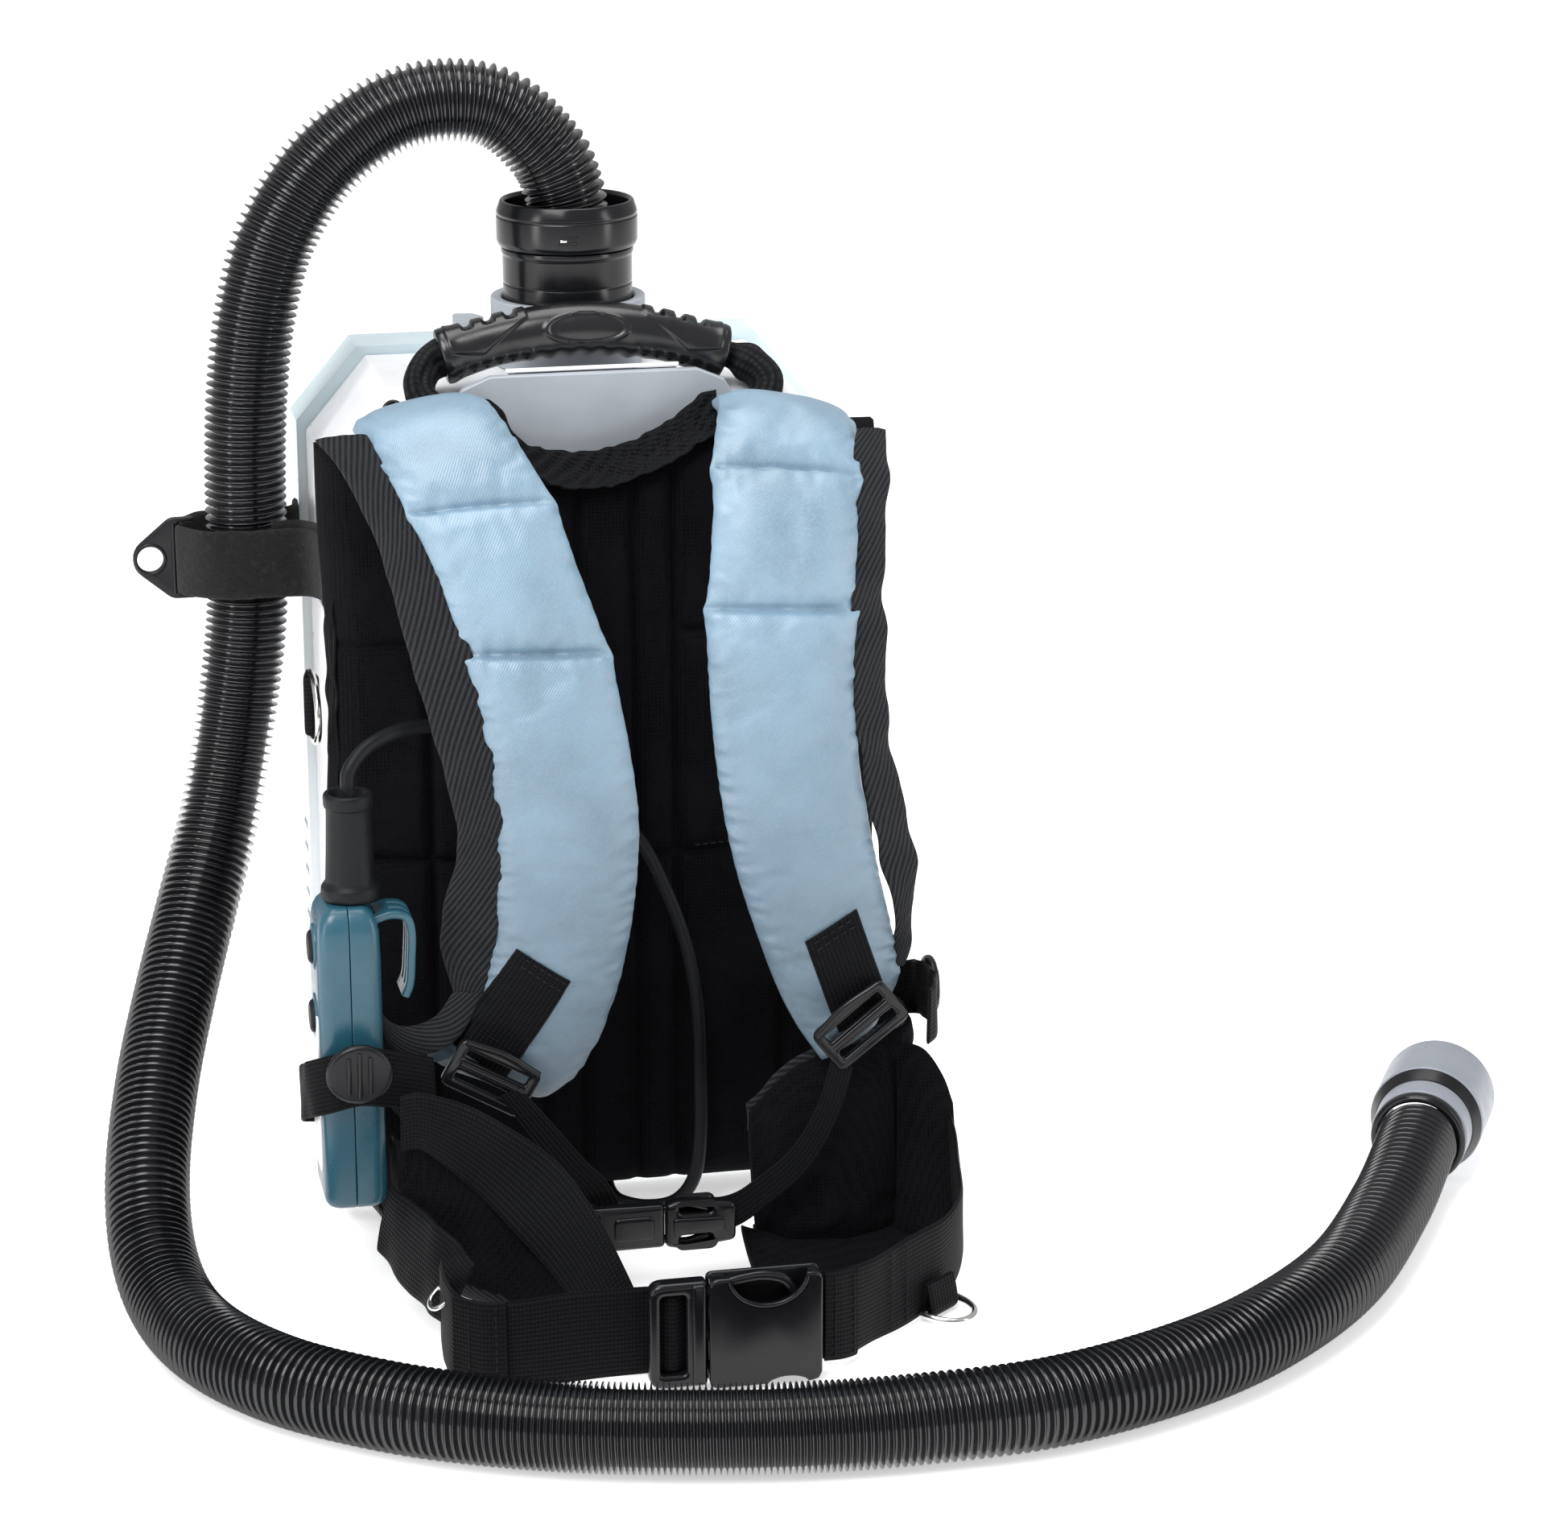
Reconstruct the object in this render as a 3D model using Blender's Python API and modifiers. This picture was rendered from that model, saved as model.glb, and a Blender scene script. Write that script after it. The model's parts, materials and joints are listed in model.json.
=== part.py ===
"""Cordless backpack vacuum cleaner: machine, harness, hose and switch unit.

Sizes are written in millimetres and turned into metres by mm().
X runs across the wearer's back, -Y is the wearer's side and Z is up.
"""

import math

import bmesh
import bpy
from mathutils import Matrix, Vector

# ---------------------------------------------------------------- driving sizes (mm)

OBJECT_NAME = "backpack_vacuum"
MM = 0.001                          # one millimetre in metres
MACHINE_SHIFT = (24.8, 31.75, 0.0)   # puts the object's base centre at the origin
GAP = 0.3                           # clearance between neighbouring pieces
THROUGH = 5.0                       # how far a cutter reaches past the face it opens
SMOOTH_ANGLE = 35.0                 # degrees, above which an edge is shaded sharp
BEVEL_ANGLE = 40.0                  # degrees, above which an edge is rounded
WELD = 0.00001                      # metres between points that are one point

BODY_HALF_WIDTH = 116.0
BODY_HEIGHT = 364.0
CORNER_X = 27.0                     # chamfer at the two top corners
CORNER_Z = 32.0
BODY_FOOT = 10.0                    # chamfer at the two bottom corners
FRONT_STEP = 4.0                    # the front shell is this much smaller all round
FRONT_Y = 8.0
SEAM_Y = 104.0
BACK_Y = 141.0
WALL = 2.6
SEAM_LIP = 0.6                      # the rear shell's front edge laps behind the front shell
FRONT_EDGE = ((0.0, 17.0, 3.0), (5.0, 9.0, 0.5), (15.0, 4.0, 0.0))   # depth, inset and lift
BACK_EDGE = ((-10.0, 0.0, 0.0), (-3.0, 3.0, 1.0), (0.0, 9.0, 4.0))   # of the casing's edges
VENT_COUNT = 5
VENT_PITCH = 11.0
VENT_LOW = 96.0
VENT_HEIGHT = 4.0
VENT_END = 9.0                      # from a slot's end to the rear shell's edge
VENT_DEPTH = 8.0

PAD_HALF_WIDTH = 120.0
PAD_FRONT_Y = -24.0
PAD_BACK_Y = 2.7
PAD_BOTTOM = 10.5
PAD_TOP = 347.0
PAD_NECKLINE = ((44, 357), (30, 350), (14, 345), (-4, 343), (-20, 346), (-34, 352), (-45, 358))
PAD_FACE = ((8.0, 0.0), (2.0, 3.0), (0.0, 8.0))      # depth behind the face, and inset there
PLATE_OUTLINE = [(-98, 20), (98, 20), (98, 350), (66, 351), (61, 355), (56, 364), (44, 369),
                 (-44, 369), (-56, 364), (-61, 355), (-66, 351), (-98, 350)]

INLET_Y = 70.0
TUBE_RADIUS = 28.0
COLLAR_RADIUS = 30.4
COLLAR_TOP = 432.0
COLLAR_LOW = 412.0
COLLAR_BORE = 26.5
TUBE_BORE = 24.0
TUBE_LOW = 336.0
FLANGE_RADIUS = 33.5
FLANGE_NECK = 31.5
FLANGE_LIP = (381.0, 390.0)

HOSE_RADIUS = 17.7
CABLE_RADIUS = 3.0

BELT_WIDTH = 38.0
BELT_THICK = 1.8
BELT_Y = -203.1
BELT_LEFT = [(-86, -140, 36.2), (-92, -158, 29.2), (-95, -176, 23.2), (-92, -189, 21.2),
             (-82, -198, 21.2), (-66, BELT_Y, 23.2), (-40, BELT_Y, 24.2), (-2, BELT_Y, 24.2)]
BELT_RIGHT = [(133, -86, 50.2), (137, -106, 36.2), (132, -130, 25.2), (119, -148, 20.2),
              (104, -162, 20.2), (84, -180, 20.2), (66, -197, 22.2), (54, BELT_Y, 24.2),
              (30, BELT_Y, 24.2)]
STRAP_WEB_WIDTH = 25.0
STRAP_WEB_THICK = 1.6
CHEST_WEB_WIDTH = 16.0
CHEST_WEB_THICK = 1.4
CHEST_WEB_LEAN = (0.35, 0, 1)       # its width's direction

# Bays and decks inside the casing
BATTERY_SIZE = (75.0, 113.0, 62.0)
BATTERY_GAP_X = 8.0
BATTERY_LOW = 26.0
DOCK_LOW = BATTERY_LOW + BATTERY_SIZE[2] + 1.0
DECK_LOW = 190.0
DECK_THICK = 4.0
FAN_LOW = 152.0
FAN_RADIUS = 46.0
MOTOR_RADIUS = 36.0
SHAFT_RADIUS = 4.0
MOTOR_LOW = 108.0
BAG_SPAN = ((-84, 20, 216), (84, 128, 331.5))
BAG_WALL = 2.0
FILTER_SPAN = ((-80, 24, 196), (80, 126, 212))
PLEATS = 9
PLEAT_PITCH = 18.0
IMPELLER_SPAN = (158.0, 172.0)
BLADES = 7
BLADE_SIZE = (28.0, 1.6, 13.0)
BLADE_AT = (24.0, 6.0)              # from the wheel's axis, outwards and across
BLADE_TURN = 24.0                   # degrees

# Door over the dust chamber
DOOR_HALF_WIDTH = 92.0
DOOR_LOW = 150.0
DOOR_HIGH = 338.0
DOOR_OUTER_Y = 152.0
DOOR_CORNER = 14.0
DOOR_GAP = 0.8
PIN_RADIUS = 2.0
PIN_BORE = 2.3
EAR_X = 62.0
KNUCKLE_X = 46.0
LATCH_HALF_WIDTH = 20.0
LATCH_HEIGHT = 29.0
HINGE_Y = BACK_Y + 5.5
HINGE_Z = DOOR_LOW - 8.5
HINGE_AXIS = (0.0, HINGE_Y, HINGE_Z)
LATCH_AXIS = (0.0, DOOR_OUTER_Y - 2.4, DOOR_HIGH - 26.0)

# Inlet lever and battery ends
LEVER_AXIS = (-44.0, 84.0, 378.0)
LEVER_OUTLINE = [(-4, 5), (5, 4), (8.5, -4), (5.5, -14), (-2, -26), (-7, -25), (-6, -10)]
LEVER_BOSS_LOW = 361.0
BATTERY_END_Y = BACK_Y + 6.0

# Shoulder straps as pairs of edge points, top to bottom
LEFT_STRAP = [((-106, -9, 360), (-44, -9, 362)), ((-106, -26, 363), (-45, -26, 365)),
              ((-102, -45, 355), (-40, -46, 357)), ((-88, -70, 326), (-26, -70, 326)),
              ((-70, -85, 268), (-7, -85, 265)), ((-62, -92, 212), (2, -92, 208)),
              ((-63, -94, 172), (0, -94, 168)), ((-68, -94, 138), (-8, -94, 128)),
              ((-82, -90, 112), (-22, -90, 94)), ((-92, -87, 104), (-38, -87, 80))]
RIGHT_STRAP = [((45, -9, 360), (108, -9, 356)), ((45, -26, 363), (108, -26, 359)),
               ((40, -46, 355), (105, -45, 350)), ((34, -70, 323), (99, -70, 320)),
               ((29, -83, 274), (95, -83, 270)), ((30, -91, 230), (95, -91, 226)),
               ((37, -94, 183), (102, -94, 180)), ((52, -92, 135), (112, -92, 136)),
               ((66, -88, 104), (112, -88, 122))]
STRAP_THICK = 15.0
LOCK_SIZE = (38.0, 4.0, 22.0)
LOCK_FRAME = 4.5                    # width of a ladder lock's outer bars
LOCK_SLOT = 3.6
LOCKS = {"left": ((-65, -106, 99), 30), "right": ((91, -106, 110), -39)}
ADJUSTERS = {"left": ((-121, -122.5, 111), 0), "right": ((132.6, -58, 108), 88)}
ADJUSTER_PROFILE = [(0, 2), (12, 2), (13, 1), (13, -1), (12, -2), (0, -2)]
STRAP_WEB_LEFT = [(-89, -109, 98), (-100, -114, 103), (-118, -119, 108), (-135, -115, 104),
                  (-141, -98, 96), (-139, -70, 84), (-131, -36, 70), (-123, -14, 60),
                  (-121.6, 4, 55), (-118, 20, 53), (-114, 36, 52)]
STRAP_WEB_RIGHT = [(120, -108, 112), (125, -99, 112), (129, -74, 109), (129, -46, 103),
                   (125, -20, 92), (122, -2, 86), (119, 12, 82), (114, 32, 78)]

# Carrying grip and the webbing rolled through it
GRIP_Y = 20.0
GRIP_RADIUS = 11.5
GRIP_WEB_RADIUS = 6.0
GRIP_ROUTE = [(-62, GRIP_Y, 375), (-34, GRIP_Y, 382), (-2, GRIP_Y, 385), (29, GRIP_Y, 381),
              (58, GRIP_Y, 372)]
GRIP_WEB_ROUTE = [(-71, 5, 360), (-77, 9, 366), (-73, 15, 371), GRIP_ROUTE[0], GRIP_ROUTE[1],
                  GRIP_ROUTE[2], GRIP_ROUTE[3], GRIP_ROUTE[4], (71, 15, 369), (77, 9, 365),
                  (74, 5, 359)]

# Hip pads as pairs of lower and upper edge points, machine to front
HIP_LEFT = [((-113, -27, 22), (-113, -27, 84)), ((-106, -46, 20), (-106, -46, 80)),
            ((-100, -70, 16), (-99, -70, 74)), ((-93, -98, 12), (-90, -98, 64)),
            ((-78, -118, 8), (-74, -118, 50)), ((-56, -132, 5), (-52, -130, 36)),
            ((-36, -140, 4), (-34, -138, 22))]
HIP_RIGHT = [((114, -27, 20), (114, -27, 94)), ((123, -48, 16), (121, -48, 98)),
             ((122, -72, 12), (118, -70, 98)), ((104, -90, 10), (96, -84, 97)),
             ((74, -96, 12), (68, -88, 90)), ((50, -94, 22), (46, -88, 70))]
HIP_THICK = 12.0

# Waist buckle and chest strap
BUCKLE_Y = -210.0
BUCKLE_LOW = 1.5
BUCKLE_HEIGHT = 47.0
SOCKET_X = (5.0, 51.0)
PLUG_X = (-19.0, 4.6)
BUCKLE_HALF_DEPTH = 5.5
BUCKLE_WALL = 2.2
CHEST_Y = -112.0
CHEST_Z = 30.0
CHEST_HALF_DEPTH = 4.0
CHEST_WEB_Y = CHEST_Y + CHEST_HALF_DEPTH + 1.2
CHEST_LEFT = [(-38, -111, 74), (-47, -110, 60), (-60, CHEST_WEB_Y, 44), (-62, CHEST_WEB_Y, 35),
              (-52, CHEST_WEB_Y, 30), (-30, CHEST_WEB_Y, 30), (-8, CHEST_WEB_Y, 30)]
CHEST_RIGHT = [(82, -111, 80), (74, -110, 64), (60, CHEST_WEB_Y, 46), (44, CHEST_WEB_Y, 34),
               (28, CHEST_WEB_Y, 30), (12, CHEST_WEB_Y, 30)]

# Hose band and its ring
HOSE_HOLD = (-142.5, 70.0, 282.0)
BAND_WIDTH = 30.0
BAND_THICK = 1.8
BAND_RING_AXIS = (-168.5, 68.0, 282.0)
BAND_RING_OUTLINE = [(2, -18), (2, 18), (-4, 18), (-15, 7), (-19, 0), (-15, -7), (-4, -18)]
RING_EYE_RADIUS = 4.2

# Switch unit
CASE_LOW = 46.0
CASE_HIGH = 176.0
CASE_X = (-135.0, -109.0)
CASE_Y = (-110.0, -72.0)
CASE_SPLIT = -122.0
CASE_WALL = 3.0
BUTTON_RADIUS = 7.0
BUTTONS = {"power_button": 156.0, "mode_button": 126.0}
BOOT_TOP = 221.0
BOOT_X = -119.0

# D-rings: the bar's two ends and how far the bow stands out
D_RING_WIRE = 1.5
SIDE_RING = ((-122.2, 10, 222), (-122.2, 10, 250), (0, -24, 0))
BELT_RING = ((104, -166.5, 3.6), (122, -151.5, 3.6), (10, -12, -1.5))

# Middle lines of the hose and the cable, from the machine outwards
HOSE_ROUTE = [(1, 72, 424.5), (-1, 72, 436), (-8, 72, 452), (-27, 73, 470), (-51, 74, 475),
              (-77, 74, 469), (-105, 73, 449), (-125, 72, 420), (-135, 71, 388), (-140, 70, 354),
              (-142, 70, 320), (-142.5, 70, 288), (-144, 69, 252), (-151, 64, 208), (-161, 50, 168),
              (-173, 29, 137), (-186, -2, 108), (-197, -35, 82), (-205, -72, 55), (-206, -103, 33),
              (-200, -134, 20.5), (-187, -171, 18.2), (-164, -206, 18), (-135, -232, 18), (-104, -252, 18),
              (-62, -270, 18), (-18, -282, 18), (28, -290, 18), (75, -292, 18), (126, -288, 18),
              (181, -269, 18), (229, -240, 18), (277, -194, 18), (318, -134, 20), (348, -82, 24)]
CUFF_START = (351.5, -75.5, 24.5)
CUFF_END = (384, -18, 26.5)
CABLE_ROUTE = [(-119, -91, 222), (-118, -90, 230), (-110, -84, 237), (-97, -74, 240),
               (-80, -62, 238), (-60, -50, 230), (-38, -42, 216), (-14, -38, 198), (8, -37, 178),
               (22, -36, 150), (31, -36, 122), (35, -36, 96), (36, -36, 66), (36, -36, 38),
               (33, -36, 18), (25, -34, 7), (13, -30, 3.8), (3, -22, 3.8), (0, -12, 4.5),
               (0, 0, 6), (0, FRONT_Y - GAP, 6.5)]

# ---------------------------------------------------------------- colours

PALETTE = {
    "shell_white": ((0.83, 0.85, 0.86), 0.35, 0.0),
    "shell_blue": ((0.42, 0.66, 0.74), 0.35, 0.0),
    "grey_plastic": ((0.48, 0.50, 0.52), 0.45, 0.0),
    "black_gloss": ((0.012, 0.012, 0.014), 0.18, 0.0),
    "black_plastic": ((0.02, 0.02, 0.022), 0.45, 0.0),
    "teal_plastic": ((0.015, 0.13, 0.17), 0.35, 0.0),
    "rubber": ((0.035, 0.037, 0.042), 0.7, 0.0),
    "strap_satin": ((0.19, 0.40, 0.55), 0.45, 0.0),
    "mesh_fabric": ((0.012, 0.012, 0.015), 0.9, 0.0),
    "webbing": ((0.015, 0.015, 0.017), 0.85, 0.0),
    "hook_loop": ((0.02, 0.02, 0.022), 0.95, 0.0),
    "metal": ((0.75, 0.75, 0.74), 0.2, 1.0),
    "bag_paper": ((0.72, 0.66, 0.52), 0.9, 0.0),
    "filter_white": ((0.80, 0.80, 0.76), 0.9, 0.0),
    "board_green": ((0.02, 0.17, 0.07), 0.5, 0.0),
}


def mm(value):
    return value * MM


def point(values):
    return Vector(values) * MM


# ---------------------------------------------------------------- scene set-up

def clear_scene():
    for obj in list(bpy.data.objects):
        bpy.data.objects.remove(obj, do_unlink=True)


def make_collection(name):
    collection = bpy.data.collections.new(name)
    bpy.context.scene.collection.children.link(collection)
    return collection


def make_material(name):
    colour, roughness, metallic = PALETTE[name]
    material = bpy.data.materials.new(name)
    material.use_nodes = True
    shader = material.node_tree.nodes["Principled BSDF"]
    shader.inputs["Base Color"].default_value = (*colour, 1.0)
    shader.inputs["Roughness"].default_value = roughness
    shader.inputs["Metallic"].default_value = metallic
    return material


clear_scene()
PARTS = make_collection(OBJECT_NAME)
CUTTERS = make_collection("cutters")
MATERIALS = {name: make_material(name) for name in PALETTE}

MACHINE = bpy.data.objects.new("machine_frame", None)
MACHINE.location = point(MACHINE_SHIFT)
PARTS.objects.link(MACHINE)


# ---------------------------------------------------------------- making pieces

def from_bmesh(name, bm, material, origin=(0, 0, 0)):
    """Make an object of bm, whose points are in metres about the machine's frame."""
    bmesh.ops.translate(bm, verts=bm.verts, vec=-point(origin))
    bmesh.ops.recalc_face_normals(bm, faces=bm.faces)
    mesh = bpy.data.meshes.new(name)
    bm.to_mesh(mesh)
    bm.free()
    mesh.shade_smooth()
    mesh.set_sharp_from_angle(angle=math.radians(SMOOTH_ANGLE))
    obj = bpy.data.objects.new(name, mesh)
    obj.location = point(origin)
    obj.parent = MACHINE
    PARTS.objects.link(obj)
    if material:
        mesh.materials.append(MATERIALS[material])
    return obj


def as_cutter(obj):
    PARTS.objects.unlink(obj)
    CUTTERS.objects.link(obj)
    obj.hide_render = True
    obj.display_type = "WIRE"
    return obj


def boolean(obj, other, operation):
    modifier = obj.modifiers.new(operation.lower() + "_" + other.name, "BOOLEAN")
    modifier.operation = operation
    modifier.solver = "EXACT"
    modifier.object = as_cutter(other)
    return obj


def cut(obj, other):
    return boolean(obj, other, "DIFFERENCE")


def join(obj, other):
    return boolean(obj, other, "UNION")


def rounded(obj, width, segments=2):
    modifier = obj.modifiers.new("rounding", "BEVEL")
    modifier.width = mm(width)
    modifier.segments = segments
    modifier.limit_method = "ANGLE"
    modifier.angle_limit = math.radians(BEVEL_ANGLE)
    return obj


def box(name, low, high, material=None, origin=(0, 0, 0)):
    """A block between two corners."""
    low, high = point(low), point(high)
    centre = (low + high) / 2
    size = high - low
    bm = bmesh.new()
    matrix = Matrix.Translation(centre) @ Matrix.Diagonal((*size, 1.0))
    bmesh.ops.create_cube(bm, size=1.0, matrix=matrix)
    return from_bmesh(name, bm, material, origin)


def rod(name, start, end, radius, material=None, sides=24):
    """A round bar between two points."""
    start, end = point(start), point(end)
    direction = end - start
    turn = direction.to_track_quat("Z", "Y").to_matrix().to_4x4()
    matrix = Matrix.Translation((start + end) / 2) @ turn
    bm = bmesh.new()
    bmesh.ops.create_cone(bm, cap_ends=True, segments=sides, radius1=mm(radius), radius2=mm(radius),
                          depth=direction.length, matrix=matrix)
    return from_bmesh(name, bm, material)


def turned(name, profile, centre, material, axis=(0, 0, 1), closed=False, sides=32):
    """Screw a profile of (radius, height) points, outer side first and top to bottom."""
    mesh = bpy.data.meshes.new(name)
    verts = [(mm(radius), 0.0, mm(height)) for radius, height in profile]
    edges = [(index, index + 1) for index in range(len(verts) - 1)]
    if closed:
        edges.append((len(verts) - 1, 0))
    mesh.from_pydata(verts, edges, [])
    mesh.materials.append(MATERIALS[material])
    obj = bpy.data.objects.new(name, mesh)
    obj.location = point(centre)
    obj.rotation_mode = "QUATERNION"
    obj.rotation_quaternion = Vector(axis).to_track_quat("Z", "Y")
    obj.parent = MACHINE
    PARTS.objects.link(obj)
    screw = obj.modifiers.new("turn", "SCREW")
    screw.axis = "Z"
    screw.steps = sides
    screw.render_steps = sides
    screw.use_merge_vertices = True
    screw.merge_threshold = WELD
    screw.use_smooth_shade = True
    return obj


def loft(name, rings, material=None, origin=(0, 0, 0)):
    """Skin a list of equal rings of points, with a flat cap at each end."""
    bm = bmesh.new()
    made = [[bm.verts.new(vertex) for vertex in ring] for ring in rings]
    count = len(made[0])
    for first, second in zip(made, made[1:]):
        for index in range(count):
            after = (index + 1) % count
            bm.faces.new((first[index], first[after], second[after], second[index]))
    bm.faces.new(made[0])
    bm.faces.new(list(reversed(made[-1])))
    return from_bmesh(name, bm, material, origin)


def outline_slab(name, outline, y_low, y_high, material=None, origin=(0, 0, 0)):
    """A flat piece with its outline in X and Z, between two depths."""
    rings = [[point((x, y, z)) for x, z in outline] for y in (y_low, y_high)]
    return loft(name, rings, material, origin)


def smooth_route(route, steps):
    """Points along a Catmull-Rom curve through the route, steps to each stretch."""
    pts = [Vector(values) for values in route]
    pts = [2 * pts[0] - pts[1]] + pts + [2 * pts[-1] - pts[-2]]
    curve = []
    for index in range(1, len(pts) - 2):
        before, start, end, after = pts[index - 1:index + 3]
        for step in range(steps):
            t = step / steps
            curve.append(0.5 * (2 * start + (end - before) * t
                                + (2 * before - 5 * start + 4 * end - after) * t ** 2
                                + (3 * start - before - 3 * end + after) * t ** 3))
    curve.append(pts[-2])
    return curve


def tube(name, curve_points, radius, material, sides=2):
    """A round tube as a poly curve with filled ends."""
    curve = bpy.data.curves.new(name, "CURVE")
    curve.dimensions = "3D"
    curve.bevel_depth = mm(radius)
    curve.bevel_resolution = sides
    curve.use_fill_caps = True
    spline = curve.splines.new("POLY")
    spline.points.add(len(curve_points) - 1)
    for target, values in zip(spline.points, curve_points):
        target.co = (*point(values), 1.0)
    curve.materials.append(MATERIALS[material])
    obj = bpy.data.objects.new(name, curve)
    obj.parent = MACHINE
    PARTS.objects.link(obj)
    return obj


def flat_section(half_width, half_thick):
    """Corners of a webbing's section, as shares along its width and thickness."""
    return [(-half_width, -half_thick), (half_width, -half_thick),
            (half_width, half_thick), (-half_width, half_thick)]


def padded_section(half_width, half_thick):
    """A cushion's section: full in the middle and drawn in at both edges."""
    shares = [(-1.0, 0.0), (-0.88, -0.62), (-0.45, -1.0), (0.45, -1.0), (0.88, -0.62),
              (1.0, 0.0), (0.88, 0.62), (0.45, 1.0), (-0.45, 1.0), (-0.88, 0.62)]
    return [(across * half_width, up * half_thick) for across, up in shares]


def band(name, edges, thick, section, material, steps=2):
    """A strap through pairs of edge points, with a section set across each pair."""
    left = smooth_route([edge[0] for edge in edges], steps)
    right = smooth_route([edge[1] for edge in edges], steps)
    middles = [(a + b) / 2 for a, b in zip(left, right)]
    rings = []
    for index, (a, b) in enumerate(zip(left, right)):
        across = (b - a).normalized()
        before = middles[max(index - 1, 0)]
        after = middles[min(index + 1, len(middles) - 1)]
        normal = across.cross(after - before).normalized()
        shape = section((b - a).length / 2, thick / 2)
        rings.append([point(middles[index] + across * u + normal * v) for u, v in shape])
    return loft(name, rings, material)


def webbing(name, route, width, thick, material="webbing", across=(0, 0, 1), steps=3):
    """Webbing of an even width along a route; across is its width's direction."""
    half = Vector(across).normalized() * (width / 2)
    edges = [(Vector(values) - half, Vector(values) + half) for values in route]
    return band(name, edges, thick, flat_section, material, steps)


def body_outline(inset, low=0.0):
    """The casing's outline in X and Z, drawn in by inset on every side but the base."""
    half = BODY_HALF_WIDTH - inset
    top = BODY_HEIGHT - inset
    right = [(half - BODY_FOOT, low), (half, low + BODY_FOOT), (half, top - CORNER_Z),
             (half - CORNER_X, top)]
    left = [(-x, z) for x, z in reversed(right)]
    return right + left


def casing_block(name, stations, material=None):
    """A lofted block of the casing's outline at (depth, inset, lift) stations."""
    rings = []
    for depth, inset, lift in stations:
        rings.append([point((x, depth, z)) for x, z in body_outline(inset, lift)])
    return loft(name, rings, material)


# ---------------------------------------------------------------- casing

def make_front_shell():
    """White half of the casing, open at the back, with edges drawn in at the front."""
    stations = [(FRONT_Y + depth, inset, lift) for depth, inset, lift in FRONT_EDGE]
    shell = casing_block("front_shell", stations + [(SEAM_Y - GAP, FRONT_STEP, 0)], "shell_white")
    inner = FRONT_STEP + WALL
    edge_depth, edge_inset, edge_lift = FRONT_EDGE[0]
    cavity = casing_block("front_cavity", [(FRONT_Y + WALL, edge_inset + WALL - 1, WALL + edge_lift),
                                           (FRONT_Y + FRONT_EDGE[-1][0], inner, WALL),
                                           (SEAM_Y + THROUGH, inner, WALL)])
    cut(shell, cavity)
    reach = 4 * THROUGH
    cut(shell, rod("inlet_bore", (0, INLET_Y, BODY_HEIGHT - reach), (0, INLET_Y, BODY_HEIGHT + reach),
                   TUBE_RADIUS + 0.8, sides=40))
    return shell


def vent_slots(shell, side):
    """Level exhaust slots low on one side of the rear shell."""
    x = side * BODY_HALF_WIDTH
    for index in range(VENT_COUNT):
        low = VENT_LOW + index * VENT_PITCH
        slot = box("vent_slot", (x - VENT_DEPTH, SEAM_Y + VENT_END, low),
                   (x + VENT_DEPTH, BACK_Y - VENT_END, low + VENT_HEIGHT))
        cut(shell, slot)


def make_rear_shell():
    """Blue half of the casing, open at the front, with the door and battery openings."""
    stations = [(BACK_Y + depth, inset, lift) for depth, inset, lift in BACK_EDGE]
    shell = casing_block("rear_shell", [(SEAM_Y, 0, 0)] + stations, "shell_blue")
    lip = FRONT_STEP + SEAM_LIP
    lip_depth = 3.0
    cavity = casing_block("rear_cavity", [(SEAM_Y - THROUGH, lip, WALL), (SEAM_Y + lip_depth, lip, WALL),
                                          (SEAM_Y + lip_depth + 2, WALL, WALL),
                                          (BACK_Y - 11, WALL, WALL), (BACK_Y - WALL, 11, 6)])
    cut(shell, cavity)
    half = DOOR_HALF_WIDTH
    reach = 4 * THROUGH
    cut(shell, box("door_opening", (-half, BACK_Y - reach, DOOR_LOW), (half, BACK_Y + reach, DOOR_HIGH)))
    room = 1.0
    ear_half = 6.0
    for side in (-1, 1):
        x_low, x_high = battery_span(side)
        cut(shell, box("battery_opening", (x_low - room, BACK_Y - reach, BATTERY_LOW - room),
                       (x_high + room, BACK_Y + reach, BATTERY_LOW + BATTERY_SIZE[2] + room)))
        vent_slots(shell, side)
        ear = box("hinge_ear", (side * EAR_X - ear_half, BACK_Y - 1, DOOR_LOW - 14),
                  (side * EAR_X + ear_half, DOOR_OUTER_Y - 1, DOOR_LOW - 3.5))
        join(shell, ear)
    cut(shell, rod("hinge_bore", (-90, HINGE_Y, HINGE_Z), (90, HINGE_Y, HINGE_Z), PIN_BORE))
    return shell


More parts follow.
